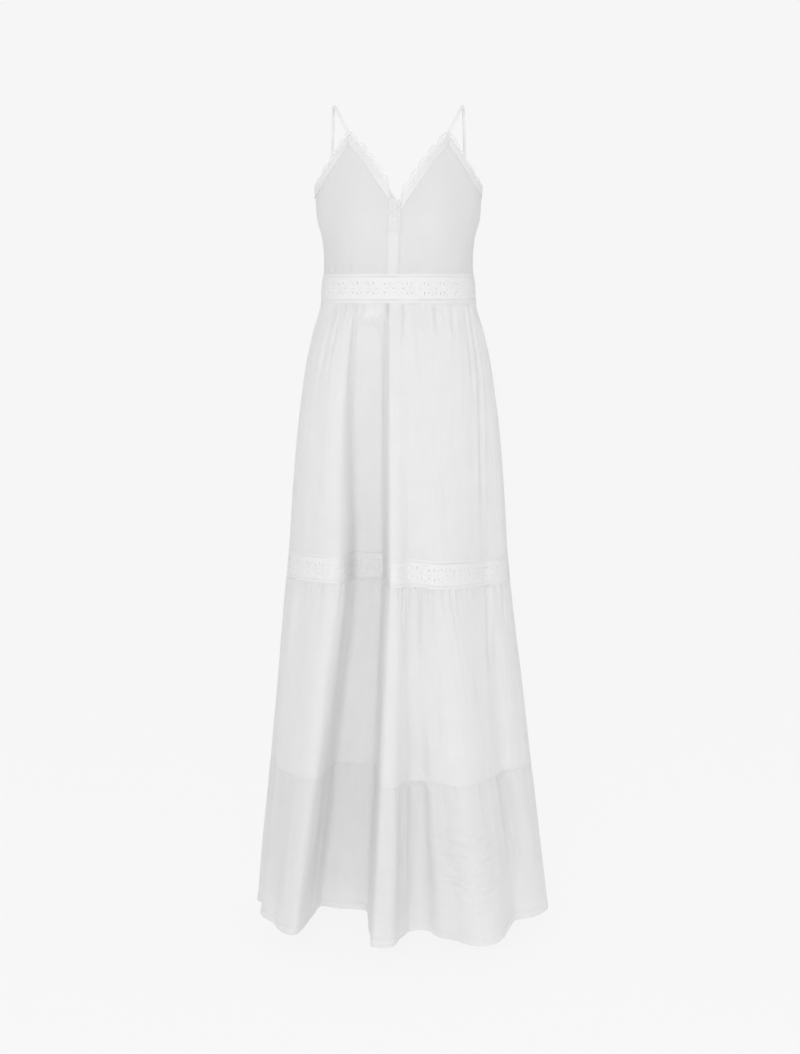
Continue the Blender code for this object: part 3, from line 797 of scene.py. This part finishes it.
for tier, settings in tierSettings.items():
    for side in ("Front", "Back"):
        grid = tierGrid(tier, side)
        width, height = grid["across"][-1], grid["up"][-1] - grid["up"][0]
        half = "_" + side.lower()
        flatPlaces = np.stack(np.meshgrid(grid["across"], grid["up"]), axis=2)
        piece = layCloth(tier + side, grid, flatPlaces, clothForm["thickness"], settings["cloth"],
                         [settings["node"] + half])
        if tier == "flounce":
            stitchRow("hemStitching" + side, grid, form["hem"] + hemDepth)
        print(tier + side, "laid,", round(width, 3), "x", round(height, 3), "m")


# Insertion lace: one flat repeat of crochet, 29 mm long, set side by side and bent round the dress

laceSettings = {
    "repeat": 0.029,
    "tape": 0.0014,           # radius of the solid edge, before it is flattened
    "outline": 0.00072,
    "fine": 0.00048,
    "flatten": 0.45,
    "columns": 21,            # cells of the ground, three to each eyelet
    "rows": 30,
    "groundThickness": 0.0007,
    "ovalAcross": 0.0136,
    "ovalUp": 0.0158,
    "ringAcross": 0.80,       # the ring inside the oval, as shares of it
    "ringUp": 0.83,
    "spokes": 20,
    "petals": 8,
    "eyelets": 7,
    "eyeletRow": 0.0066,      # from the edge to the inner side of the eyelet row
    "bridge": 0.0136,         # height of the short bars between two ovals, from the middle
}


def around(centre, across, up, angle):
    return centre[0] + across * math.sin(angle), centre[1] + up * math.cos(angle)


def roundStrand(centre, across, up, count, yarnRadius, height=0.0, beat=0):
    angle = np.linspace(0, 2 * math.pi, count, endpoint=False)
    x = centre[0] + across * np.sin(angle)
    y = centre[1] + up * np.cos(angle)
    radius = yarnRadius * (1 + 0.18 * np.cos(beat * angle)) if beat else yarnRadius
    return np.stack([x, y, np.full(count, height)], axis=1), radius, True


def straightStrand(start, end, count, yarnRadius, height=0.0):
    share = np.linspace(0, 1, count)[:, None]
    points = np.array(start)[None, :] * (1 - share) + np.array(end)[None, :] * share
    return np.column_stack([points, np.full(count, height)]), yarnRadius, False


def laceRepeat(settings, height):
    wide, tape, outline, fine = [settings[key] for key in ("repeat", "tape", "outline", "fine")]
    across, up = settings["ovalAcross"], settings["ovalUp"]
    ring = (settings["ringAcross"] * across, settings["ringUp"] * up)
    middle = (wide / 2, height / 2)
    strands = [
        roundStrand(middle, across, up, 40, outline * 1.15, 0.0001, 20),
        roundStrand(middle, *ring, 32, outline),
        roundStrand(middle, 0.0017, 0.0017, 8, outline, 0.0002),
        roundStrand(middle, 0.0031, 0.0031, 12, outline * 0.9, 0.0001),
        straightStrand((0.0, middle[1]), (0.0012, middle[1]), 2, outline * 1.3),
        straightStrand((wide - 0.0012, middle[1]), (wide, middle[1]), 2, outline * 1.3),
    ]
    for k in range(settings["spokes"]):
        angle = 2 * math.pi * (k + 0.5) / settings["spokes"]
        ends = around(middle, *ring, angle), around(middle, across, up, angle)
        strands.append(straightStrand(*ends, 2, fine * 1.25))
    leaf = np.sin(math.pi * np.linspace(0, 1, 8)) ** 0.75
    for k in range(settings["petals"]):
        angle = 2 * math.pi * (k + 0.5) / settings["petals"]
        ends = around(middle, 0.0030, 0.0030, angle), around(middle, across * 0.78, up * 0.81, angle)
        points, _, _ = straightStrand(*ends, 8, fine, 0.00005)
        strands.append((points, fine + 0.0021 * leaf, False))
    for sign in (-1, 1):
        edge = middle[1] + sign * (height / 2 - tape)
        inner = middle[1] + sign * (height / 2 - settings["eyeletRow"])
        bridge = middle[1] + sign * settings["bridge"]
        strands.append(straightStrand((0, edge), (wide, edge), 13, tape))
        strands.append(straightStrand((0, inner), (wide, inner), 13, outline * 1.1))
        for k in range(settings["eyelets"]):
            x = wide * (k + 0.5) / settings["eyelets"]
            strands.append(straightStrand((x, edge), (x, inner), 3, outline))
        # The leaf-shaped gaps between two ovals stay open above and below where they touch
        for x, reach in ((0.0, 0.0046), (wide, -0.0046)):
            strands.append(straightStrand((x, bridge), (x + reach, bridge), 4, outline * 0.9))
        for x in (0.0022, wide - 0.0022):
            strands.append(straightStrand((x, bridge), (x, inner), 3, fine * 1.2))
    return strands


def laceIsOpen(x, y):
    # The gaps between two ovals, the eyelets, and the small gaps between the petals' tips
    settings, height = laceSettings, form["laceHeight"] - form["sewn"]
    acrossOval = (x - settings["repeat"] / 2) / settings["ovalAcross"]
    upOval = (y - height / 2) / settings["ovalUp"]
    away = abs(y - height / 2)
    between = x < 0.0015 and 0.0056 < away < 0.0115
    inEyeletRow = height / 2 - 0.0060 < away < height / 2 - 0.0032
    eyelet = int(x / settings["repeat"] * settings["columns"]) % 3 == 0 and inEyeletRow
    turn = math.degrees(math.atan2(acrossOval, upOval))
    nearPetal = abs((turn + 22.5) % 45.0 - 22.5) < 7.0
    return between or eyelet or (nearPetal and 0.55 < math.hypot(acrossOval, upOval) < 0.70)


def laceGrid(side, top):
    foot, height = top - form["laceHeight"], form["laceHeight"] - form["sewn"]
    ring = skirtRing(top - form["laceHeight"] / 2, side)
    across = np.linspace(0, ring["along"][-1], 420)
    lines = np.interp(across, ring["along"], ring["line"])
    up = np.linspace(0, height, 20)
    return makeGrid(across, up, np.array([skirtRow(foot + rise, side, lines) for rise in up]))


laceBands = (("waistLace", "waist_lace", "waistTop"), ("skirtLace", "skirt_lace", "skirtLaceTop"))
for band, node, topName in laceBands:
    for side in ("Front", "Back"):
        grid = laceGrid(side, form[topName])
        width, height = grid["across"][-1], grid["up"][-1]
        pitch = laceSettings["repeat"]
        repeats = round(width / pitch)
        stretch = width / repeats / pitch
        piece = openGround(band + side, laceSettings, 0.0, height, laceIsOpen)
        repeatAlong(piece, repeats, pitch)
        bendOnto(piece, grid, stretch=stretch, lift=-0.0005)
        giveWall(piece, laceSettings["groundThickness"])
        raised = drawYarn(band + side + "Stitches", laceRepeat(laceSettings, height))
        repeatAlong(raised, repeats, pitch)
        bendOnto(raised, grid, stretch=stretch, flatten=laceSettings["flatten"], lift=-0.0004)
        finishPiece(piece, crochetCotton, [f"{node}_{side.lower()}"])
        finishPiece(raised, crochetCotton)
        print(band + side, "crocheted,", repeats, "repeats")


# Bodice: two front panels and a back, plain and close

bodice = {
    "columns": 84, "rows": 64, "backColumns": 100, "backRows": 40,
    "radius": 0.128,          # of its rounding, to turn degrees into metres
    "broad": 0.0006, "streaks": 0.00022, "fullness": 0.0009, "seamDepth": 0.0006,
    "thickness": 0.0009, "seed": 71,
}
mirror = np.array([-1.0, 1.0, 1.0])


def bodiceSurface(angle, z):
    turn = np.radians(angle)
    depth = np.where(np.cos(turn) > 0, section["front"](z), section["back"](z))
    across = (np.abs(turned(angle)) - cup["angle"]) / cup["spread"]
    up = (z - cup["z"]) / cup["reach"]
    full = cup["depth"] * np.exp(-(across**2) - up**2)
    return np.stack([
        (section["halfWidth"](z) + full) * np.sin(turn),
        -(depth + full) * np.cos(turn),
        z + 0 * turn,
    ], axis=-1)


def bodicePoint(angle, z, out=0.0):
    across = bodiceSurface(angle + 0.1, z) - bodiceSurface(angle - 0.1, z)
    up = bodiceSurface(angle, z + 0.0005) - bodiceSurface(angle, z - 0.0005)
    normal = np.cross(across, up)
    normal /= np.linalg.norm(normal, axis=-1)[..., None]
    return bodiceSurface(angle, z) + normal * np.asarray(out)[..., None]


def degreesFor(distance, angle, z):
    chord = bodiceSurface(angle + 0.5, z) - bodiceSurface(angle - 0.5, z)
    return distance / np.linalg.norm(chord, axis=-1)


def bodiceRelief(angle, z, top, seams):
    share = (z - form["waistTop"]) / (top - form["waistTop"])
    size = bodice["radius"] * np.radians(angle)
    fade = smoothStep(share / 0.06) * smoothStep((1 - share) / 0.05)
    relief = bodice["broad"] * fade * clothNoise(size / 0.030, z / 0.070, bodice["seed"])
    relief += bodice["streaks"] * fade * clothNoise(size / 0.0050, z / 0.036, bodice["seed"] + 1)
    fullness = bodice["fullness"] * np.exp(-((share / 0.16) ** 1.5)) * smoothStep(share / 0.02)
    relief += fullness * clothNoise(size / 0.0075, z / 0.080, bodice["seed"] + 2)
    for seam in seams:
        away = bodice["radius"] * np.radians(np.abs(angle - seam))
        hollow = bodice["seamDepth"] * bell(away / 0.0022)
        relief = relief * smoothStep((away - 0.001) / 0.012) - hollow
    return relief


def panelPoints(angles, tops, rowCount):
    # Rows from the waist up, held half a seam away from the next panel at both sides
    inset = np.zeros(len(angles))
    inset[0], inset[-1] = form["sewn"] / 2, -form["sewn"] / 2
    rows = []
    for share in np.linspace(0, 1, rowCount + 1):
        z = form["waistTop"] + (tops - form["waistTop"]) * share
        relief = bodiceRelief(angles, z, tops, (angles[0], angles[-1]))
        rows.append(bodicePoint(angles + degreesFor(inset, angles, z), z, relief))
    return np.array(rows)


def alongCloth(points):
    # Flat places in metres of a surface whose columns and rows are only counted, and its size
    across = lengthAlong(points[points.shape[0] // 2])
    up = lengthAlong(points[:, points.shape[1] // 2])
    return np.stack(np.meshgrid(across, up), axis=2), across[-1], up[-1]


angles = np.linspace(0, 90, bodice["columns"] + 1)
tops = np.where(angles < form["apexAngle"], neckHeight(angles), armHeight(angles))
frontPanel = panelPoints(angles, tops, bodice["rows"])
angles = np.linspace(90, 270, bodice["backColumns"] + 1)
tops = form["sideTop"] - form["backDip"] * np.sin(np.radians(angles - 90)) ** 2
backPanel = panelPoints(angles, tops, bodice["backRows"])
for name, node, strap, points in (
    ("bodiceFrontLeft", "bodice_front_left", "strap_left", frontPanel[:, ::-1] * mirror),
    ("bodiceFrontRight", "bodice_front_right", "strap_right", frontPanel),
    ("bodiceBack", "bodice_back", "strap_right", backPanel),
):
    grid = makeGrid(np.arange(points.shape[1]), np.arange(points.shape[0]), points)
    flatPlaces, width, height = alongCloth(points)
    tall = max(height, np.linalg.norm(points[-1] - points[0], axis=1).max())
    piece = layCloth(name, grid, flatPlaces, bodice["thickness"], bodiceGauze, [node])


# Scalloped edging: one flat scallop of crochet, repeated along the neck and the armholes

edgingSettings = {
    "repeat": 0.0262,
    "width": 0.018,
    "columns": 32,            # cells of the ground
    "rows": 22,
    "groundThickness": 0.0006,
    "tape": 0.0009,
    "outline": 0.00070,
    "fine": 0.00052,
    "flatten": 0.62,
    "out": 0.0007,            # the edging lies this far out from the panel's edge
    "edge": -0.0088,          # heights of the solid edge and of the eyelet row's two sides
    "eyeletFoot": -0.0045,
    "eyeletTop": -0.0026,
    "archFoot": 0.0006,       # where the outer and the inner arch of a scallop spring from
    "innerFoot": -0.0016,
    "innerReach": 0.80,       # half width of the inner arch, as a share of the scallop's
    "foot": -0.0094,
    "crest": 0.0084,
}


def scallopRepeat(settings):
    wide, tape, outline, fine = [settings[key] for key in ("repeat", "tape", "outline", "fine")]
    edge, low, high = settings["edge"], settings["eyeletFoot"], settings["eyeletTop"]
    strands = []
    for y, radius in ((edge, tape), (low, outline * 1.2), (high, outline * 1.2)):
        strands.append(straightStrand((0, y), (wide, y), 13, radius))
    for k in range(8):
        x = wide * (k + 0.5) / 8
        strands.append(straightStrand((x, edge), (x, low), 3, fine * 1.3))
        strands.append(straightStrand((x + 0.0008, low), (x - 0.0008, high), 2, outline))
    middle = wide / 2
    outer, inner = (middle, settings["archFoot"]), (middle, settings["innerFoot"])
    innerHalf = settings["innerReach"] * wide / 2
    bend = np.linspace(-1, 1, 19)
    arch = np.sqrt(np.clip(1 - bend**2, 0, 1))
    beads = 1 + 0.20 * np.cos(np.arange(19) * math.pi)
    for radius, foot, crest, half in ((outline * 1.8, outer[1], 0.0080, 0.97 * wide / 2),
                                      (outline * 1.5, inner[1], 0.0034, innerHalf)):
        knots = np.stack([middle + bend * half, foot + (crest - foot) * arch, np.full(19, 0.0001)], axis=1)
        strands.append((knots, radius * beads, False))
    strands.append(straightStrand((0, 0.0002), (0.0014, 0.0010), 3, outline * 1.2))
    strands.append(straightStrand((wide - 0.0014, 0.0010), (wide, 0.0002), 3, outline * 1.2))
    # A fan of long stitches fills each scallop, under the narrow opening that follows its arch
    for k in range(6):
        angle = math.radians(-70 + 28 * k)
        foot = (middle + 0.0052 * math.sin(angle), high)
        strands.append(straightStrand(foot, around(inner, innerHalf, 0.0048, angle), 4, fine))
    for angle in (-66, 0, 66):
        turn = math.radians(angle)
        ends = around(inner, innerHalf, 0.0050, turn), around(outer, 0.98 * wide / 2, 0.0076, turn)
        strands.append(straightStrand(*ends, 3, fine * 1.3))
    return strands


def scallopIsOpen(x, y):
    # Outside the arch, and the crescent under it
    settings, half = edgingSettings, edgingSettings["repeat"] / 2
    bend = abs(x - half) / half
    arch = math.sqrt(max(0.0, 1 - (bend / 0.98) ** 2))
    inner = math.sqrt(max(0.0, 1 - (bend / settings["innerReach"]) ** 2))
    if y > settings["archFoot"] + 0.0076 * arch:
        return True
    crescent = settings["innerFoot"] + 0.0052 * inner < y < settings["archFoot"] + 0.0068 * arch
    return inner > 0 and crescent and bend < 0.76


def edgeLine(heightAt, first, last):
    angles = np.linspace(first, last, 300)
    z = heightAt(angles)
    run = np.gradient(angles) / degreesFor(1.0, angles, z)
    rise = np.gradient(z)
    size = np.hypot(run, rise)
    along = lengthAlong(bodicePoint(angles, z))
    return {"angle": angles, "z": z, "along": along, "run": run / size, "rise": rise / size}


def edgingGrid(edge, leans, pitch, sign):
    # Its two ends lean, so that they meet the next edging along one line
    length = edge["along"][-1]
    across = np.linspace(0, length, 240)
    up = np.linspace(-0.012, 0.012, 17)
    angle, z, run, rise = [np.interp(across, edge["along"], edge[key])
                           for key in ("angle", "z", "run", "rise")]
    left = length - across
    lean = leans[0] * np.clip(1 - across / pitch, 0, 1) + leans[1] * np.clip(1 - left / pitch, 0, 1)
    inset = 0.0001 * (np.clip(1 - across / 0.004, 0, 1) - np.clip(1 - left / 0.004, 0, 1))
    rows = []
    for reach in up:
        forward = reach * lean + inset * np.hypot(1, lean)
        level, climb = forward * run - reach * rise, forward * rise + reach * run
        rows.append(bodicePoint(angle + degreesFor(level, angle, z), z + climb, edgingSettings["out"]))
    grid = makeGrid(across, up, np.array(rows))
    if sign < 0:
        grid["points"], grid["normals"] = grid["points"] * mirror, grid["normals"] * mirror
    return grid


placketSettings = {
    "width": 0.018, "taper": 0.15, "topX": -0.005, "footX": -0.010, "top": -0.161, "clearance": 0.0006,
    "out": 0.0010, "thickness": 0.0009,
    "crochetLong": 0.056,     # the top of the strip is crocheted, and the rest is plain
    "picots": 7, "picotPitch": 0.0080, "bars": 5, "barPitch": 0.0110, "beads": 34,
}

armEdge = edgeLine(armHeight, form["apexAngle"], 90.0)
for sideName, sign in (("Left", -1), ("Right", 1)):
    reach = sign * placketSettings["topX"] + placketSettings["width"] / 2 + placketSettings["clearance"]
    neckEdge = edgeLine(neckHeight, float(degreesFor(reach, 0.0, form["vBottom"])), form["apexAngle"])
    corner = neckEdge["run"][-1] * armEdge["run"][0] + neckEdge["rise"][-1] * armEdge["rise"][0]
    mitre = math.tan(math.acos(corner) / 2)
    half = "_" + sideName.lower()
    for name, node, edge, leans in (
        ("neckLace", "neck_lace", neckEdge, (neckEdge["rise"][0] / neckEdge["run"][0], mitre)),
        ("armholeLace", "armhole_lace", armEdge, (-mitre, armEdge["rise"][-1] / armEdge["run"][-1])),
    ):
        length, pitch = edge["along"][-1], edgingSettings["repeat"]
        count = round(length / pitch)
        grid = edgingGrid(edge, leans, length / count, sign)
        foot = edgingSettings["foot"]
        tall = edgingSettings["crest"] - foot
        piece = openGround(name + sideName, edgingSettings, foot, tall, scallopIsOpen)
        raised = drawYarn(name + sideName + "Stitches", scallopRepeat(edgingSettings))
        for part, flatten, lift in ((piece, 1.0, 0.0), (raised, edgingSettings["flatten"], 0.0001)):
            repeatAlong(part, count, pitch)
            bendOnto(part, grid, stretch=length / count / pitch, flatten=flatten, lift=lift)
            if sign < 0:
                part.data.flip_normals()
        giveWall(piece, edgingSettings["groundThickness"])
        finishPiece(piece, crochetCotton, [node + half])
        finishPiece(raised, crochetCotton)
        print(name + sideName, "crocheted,", count, "scallops")


# Placket: a strip down the centre front, crocheted at its top and plain below

def placketGrid():
    foot = form["waistTop"] + form["seamGap"]
    up = np.linspace(foot, placketSettings["top"], 60)
    across = np.linspace(-0.5, 0.5, 13)
    rows = []
    for z in up:
        share = (z - foot) / (placketSettings["top"] - foot)
        width = placketSettings["width"] * (1 - placketSettings["taper"] * (1 - share))
        centre = placketSettings["footX"] + (placketSettings["topX"] - placketSettings["footX"]) * share
        x = centre + across * width
        rows.append(bodicePoint(degreesFor(x, 0.0, z), np.full(len(x), z), placketSettings["out"]))
    return makeGrid(across * placketSettings["width"], up, np.array(rows))


def placketStrip(surface):
    # Narrower where the crochet at its edges takes its place
    points = surface["points"].copy()
    across, up = np.meshgrid(surface["across"], surface["up"])
    share = np.clip((placketSettings["top"] - up) / placketSettings["crochetLong"], 0, 1)
    narrowed = 1 - 0.30 * (1 - smoothStep((share - 0.85) / 0.15))
    centre = points[:, points.shape[1] // 2][:, None, :]
    points = centre + (points - centre) * narrowed[:, :, None]
    edge = np.abs(across) / (placketSettings["width"] / 2)
    relief = 0.0008 * np.sqrt(np.clip(1 - edge**4, 0, 1))
    relief -= 0.0005 * bell((edge - 0.80) / 0.07)
    relief += 0.00035 * clothNoise(across / 0.004, up / 0.006, 5)
    return makeGrid(surface["across"], surface["up"], points + surface["normals"] * relief[:, :, None])


def placketYarn(top):
    # Picots down both edges, two beaded cords inside them, and bars from cord to cord
    strands = []
    bend = np.linspace(-1, 1, 11)
    swell = np.sqrt(np.clip(1 - bend**2, 0, 1))
    for side in (-1, 1):
        for k in range(placketSettings["picots"]):
            y = top - 0.0045 - k * placketSettings["picotPitch"]
            x = side * (0.0056 + 0.0028 * swell)
            knots = np.stack([x, y + bend * 0.0036, np.full(11, 0.0006)], axis=1)
            strands.append((knots, 0.0014, False))
    count = placketSettings["beads"]
    for x in (-0.0050, 0.0050):
        beads = 0.0008 * (1 + 0.25 * np.cos(np.arange(count) * math.pi))
        run = np.linspace(top - 0.0005, top - placketSettings["crochetLong"], count)
        strands.append((np.stack([np.full(count, x), run, np.full(count, 0.0009)], axis=1), beads, False))
    for k in range(placketSettings["bars"]):
        y = top - 0.0060 - k * placketSettings["barPitch"]
        strands.append(straightStrand((-0.0046, y), (0.0046, y - 0.0018), 6, 0.0007, 0.0009))
    return strands


placketSurface = placketGrid()
strip = placketStrip(placketSurface)
flatPlaces, _, stripTall = alongCloth(strip["points"])
piece = layCloth("placketStrip", strip, flatPlaces, placketSettings["thickness"], placketCotton,
                 ["placket"])
raised = drawYarn("placketCrochet", placketYarn(placketSettings["top"]))
bendOnto(raised, placketSurface, flatten=0.8, lift=0.0004)
finishPiece(raised, crochetCotton)
print("placket laid")


# Straps: cotton sewn into a thin round tube, from inside the cup over the shoulder to the back

strapSettings = {"radius": 0.0025, "around": 16, "rings": 100, "wall": 0.0006, "backAngle": 124.0}


def smoothRoute(knots, count):
    knots = np.array(knots, float)
    spread = np.concatenate([[0], np.cumsum(np.sqrt(np.linalg.norm(np.diff(knots, axis=0), axis=1)))])
    fineAt = np.linspace(0, spread[-1], 600)
    slopes = np.gradient(knots, spread, axis=0)
    i = np.clip(np.searchsorted(spread, fineAt) - 1, 0, len(knots) - 2)
    step = (spread[i + 1] - spread[i])[:, None]
    fine = betweenKnots((fineAt - spread[i])[:, None] / step, step, knots, slopes, i)
    along = lengthAlong(fine)
    even = np.linspace(0, along[-1], count)
    return np.stack([np.interp(even, along, fine[:, k]) for k in range(3)], axis=1), along[-1]


def strapRoute(sign):
    inside = -(form["solidWall"] + form["seamGap"] + strapSettings["radius"])
    back = strapSettings["backAngle"]
    backTop = form["sideTop"] - form["backDip"] * math.sin(math.radians(back - 90)) ** 2
    knots = [
        bodicePoint(38.0, form["apexTop"] - 0.013, inside),
        bodicePoint(39.5, form["apexTop"] + 0.003, inside),
        (0.0950, -0.0420, -0.0270),
        (0.1045, -0.0150, -0.0075),
        (0.1085, 0.0060, -strapSettings["radius"]),
        (0.1105, 0.0300, -0.0130),
        (0.1125, 0.0450, -0.0480),
        (0.1135, 0.0495, -0.1000),
        bodicePoint(back, backTop, inside),
        bodicePoint(back, backTop - 0.016, inside),
    ]
    route, length = smoothRoute(knots, strapSettings["rings"])
    return route * np.array([sign, 1.0, 1.0]), length


def rolledStrap(name, sign, node):
    route, length = strapRoute(sign)
    radius, rings = strapSettings["radius"], strapSettings["rings"]
    piece = startPiece(name, bpy.ops.mesh.primitive_cylinder_add, vertices=strapSettings["around"],
                       radius=radius, depth=length, end_fill_type="NOTHING")
    bpy.ops.object.mode_set(mode="EDIT")
    bpy.ops.mesh.select_all(action="DESELECT")
    bpy.ops.mesh.select_mode(type="EDGE")
    bpy.ops.object.mode_set(mode="OBJECT")
    for edge in piece.data.edges:
        low, high = [piece.data.vertices[v].co.z for v in edge.vertices]
        edge.select = bool(abs(low - high) > length / 2)
    bpy.ops.object.mode_set(mode="EDIT")
    bpy.ops.mesh.subdivide_edgering(number_cuts=rings - 2, interpolation="LINEAR")
    bpy.ops.object.mode_set(mode="OBJECT")
    flat = pointsOf(piece)
    share = flat[:, 2] / length + 0.5
    tangent = np.gradient(route, axis=0)
    tangent /= np.linalg.norm(tangent, axis=1)[:, None]
    sideways = np.cross(tangent, np.array([0.0, 1.0, 0.35]))
    sideways /= np.linalg.norm(sideways, axis=1)[:, None]
    outwards = np.cross(sideways, tangent)
    at, along = share * (rings - 1), np.arange(rings)
    place, left, out = [np.stack([np.interp(at, along, v[:, k]) for k in range(3)], axis=1)
                        for v in (route, sideways, outwards)]
    # Slight lumps where the cloth is rolled, and a flatter side along the seam
    angle = np.arctan2(flat[:, 1], flat[:, 0])
    swell = 1 + 0.015 * np.sin(share * length / 0.0063 + 0.6 * np.sin(share * 37))
    swell -= 0.06 * bell(angle / 0.5)
    bent = place + (left * flat[:, :1] + out * flat[:, 1:2]) * swell[:, None]
    piece.data.vertices.foreach_set("co", bent.reshape(-1))
    layFlatMap(piece, np.stack([(angle / math.pi + 1) * math.pi * radius, share * length], axis=1))
    piece.data.update()
    piece.data.flip_normals()
    giveWall(piece, strapSettings["wall"])
    finishPiece(piece, rolledStrapCotton, [node])
    print(name, "rolled,", round(length, 3), "m")


rolledStrap("strapLeft", -1, "strap_left")
rolledStrap("strapRight", 1, "strap_right")


# Floor, light and camera

studio = {
    "white": "#F6F6F6",
    "front": 0.70,            # share of that white that the room before the dress gives
    "paper": "#595959",
    "paperGlow": 0.835,
    "soft": (
        ("softKey", 28.0, 1.6, (-0.20, -2.7, -0.10)),
        ("softFill", 2.5, 1.6, (1.50, -2.1, -0.30)),
    ),
    "floor": -1.440,
    "aim": (0.0, 0.0, -0.55),
    "camera": (0.0026, -2.8, -0.30),
    "lookDown": 8.45,
    "focal": 1624 / 1054,     # in heights of the picture
}

floor = startPiece("paleStudioFloor", bpy.ops.mesh.primitive_circle_add, vertices=96, radius=60.0,
                   fill_type="NGON", location=(0, 0, 0))
for corner in floor.data.vertices:
    corner.co.z = studio["floor"]
# Matt paper, lit from below as well, so that it reads like the even white behind it
floorPaper, tree = startMaterial("mattWhitePaper")
diffuse = addNode(tree, "ShaderNodeBsdfPrincipled", (0, 0),
                  {"Base Color": linear(studio["paper"]), "Roughness": 1.0, "Specular IOR Level": 0.0,
                   "Emission Color": (1.0, 1.0, 1.0, 1.0), "Emission Strength": studio["paperGlow"]})
addNode(tree, "ShaderNodeOutputMaterial", (300, 0), {}, {"Surface": diffuse.outputs["BSDF"]})
floor.data.materials.append(floorPaper)
floor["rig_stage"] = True

world = bpy.data.worlds.new("softStudio")
bpy.context.scene.world = world
world.use_nodes = True
tree = world.node_tree
tree.nodes.clear()
heading = addNode(tree, "ShaderNodeTexCoord", (-900, 0))
split = addNode(tree, "ShaderNodeSeparateXYZ", (-700, 0), {}, {"Vector": heading.outputs["Generated"]})
share = addNode(tree, "ShaderNodeMapRange", (-500, 0),
                {"From Min": -0.9, "From Max": 0.1, "To Min": studio["front"], "To Max": 1.0},
                {"Value": split.outputs["Y"]})
light = addNode(tree, "ShaderNodeBackground", (-250, 0), {"Color": linear(studio["white"])},
                {"Strength": share.outputs["Result"]})
addNode(tree, "ShaderNodeOutputWorld", (0, 0), {}, {"Surface": light.outputs["Background"]})

for name, energy, size, place in studio["soft"]:
    lampData = bpy.data.lights.new(name, "AREA")
    lampData.energy, lampData.size = energy, size
    lamp = bpy.data.objects.new(name, lampData)
    bpy.context.scene.collection.objects.link(lamp)
    lamp.location = place
    aim = np.array(studio["aim"]) - np.array(place)
    lamp.rotation_euler = (math.acos(-aim[2] / np.linalg.norm(aim)), 0.0, math.atan2(-aim[0], aim[1]))

cameraData = bpy.data.cameras.new("studioCamera")
camera = bpy.data.objects.new("studioCamera", cameraData)
bpy.context.scene.collection.objects.link(camera)
bpy.context.scene.camera = camera
camera.location = studio["camera"]
camera.rotation_euler = (math.radians(90 - studio["lookDown"]), 0.0, 0.0)
cameraData.sensor_fit = "VERTICAL"
cameraData.sensor_height = 36.0
cameraData.lens = studio["focal"] * cameraData.sensor_height
bpy.context.scene.view_settings.view_transform = "Standard"
print("studio set")

triangles = {piece.name: sum(len(face.vertices) - 2 for face in piece.data.polygons)
             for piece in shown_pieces() if "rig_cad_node" not in piece}
print("triangles", sum(triangles.values()), triangles)
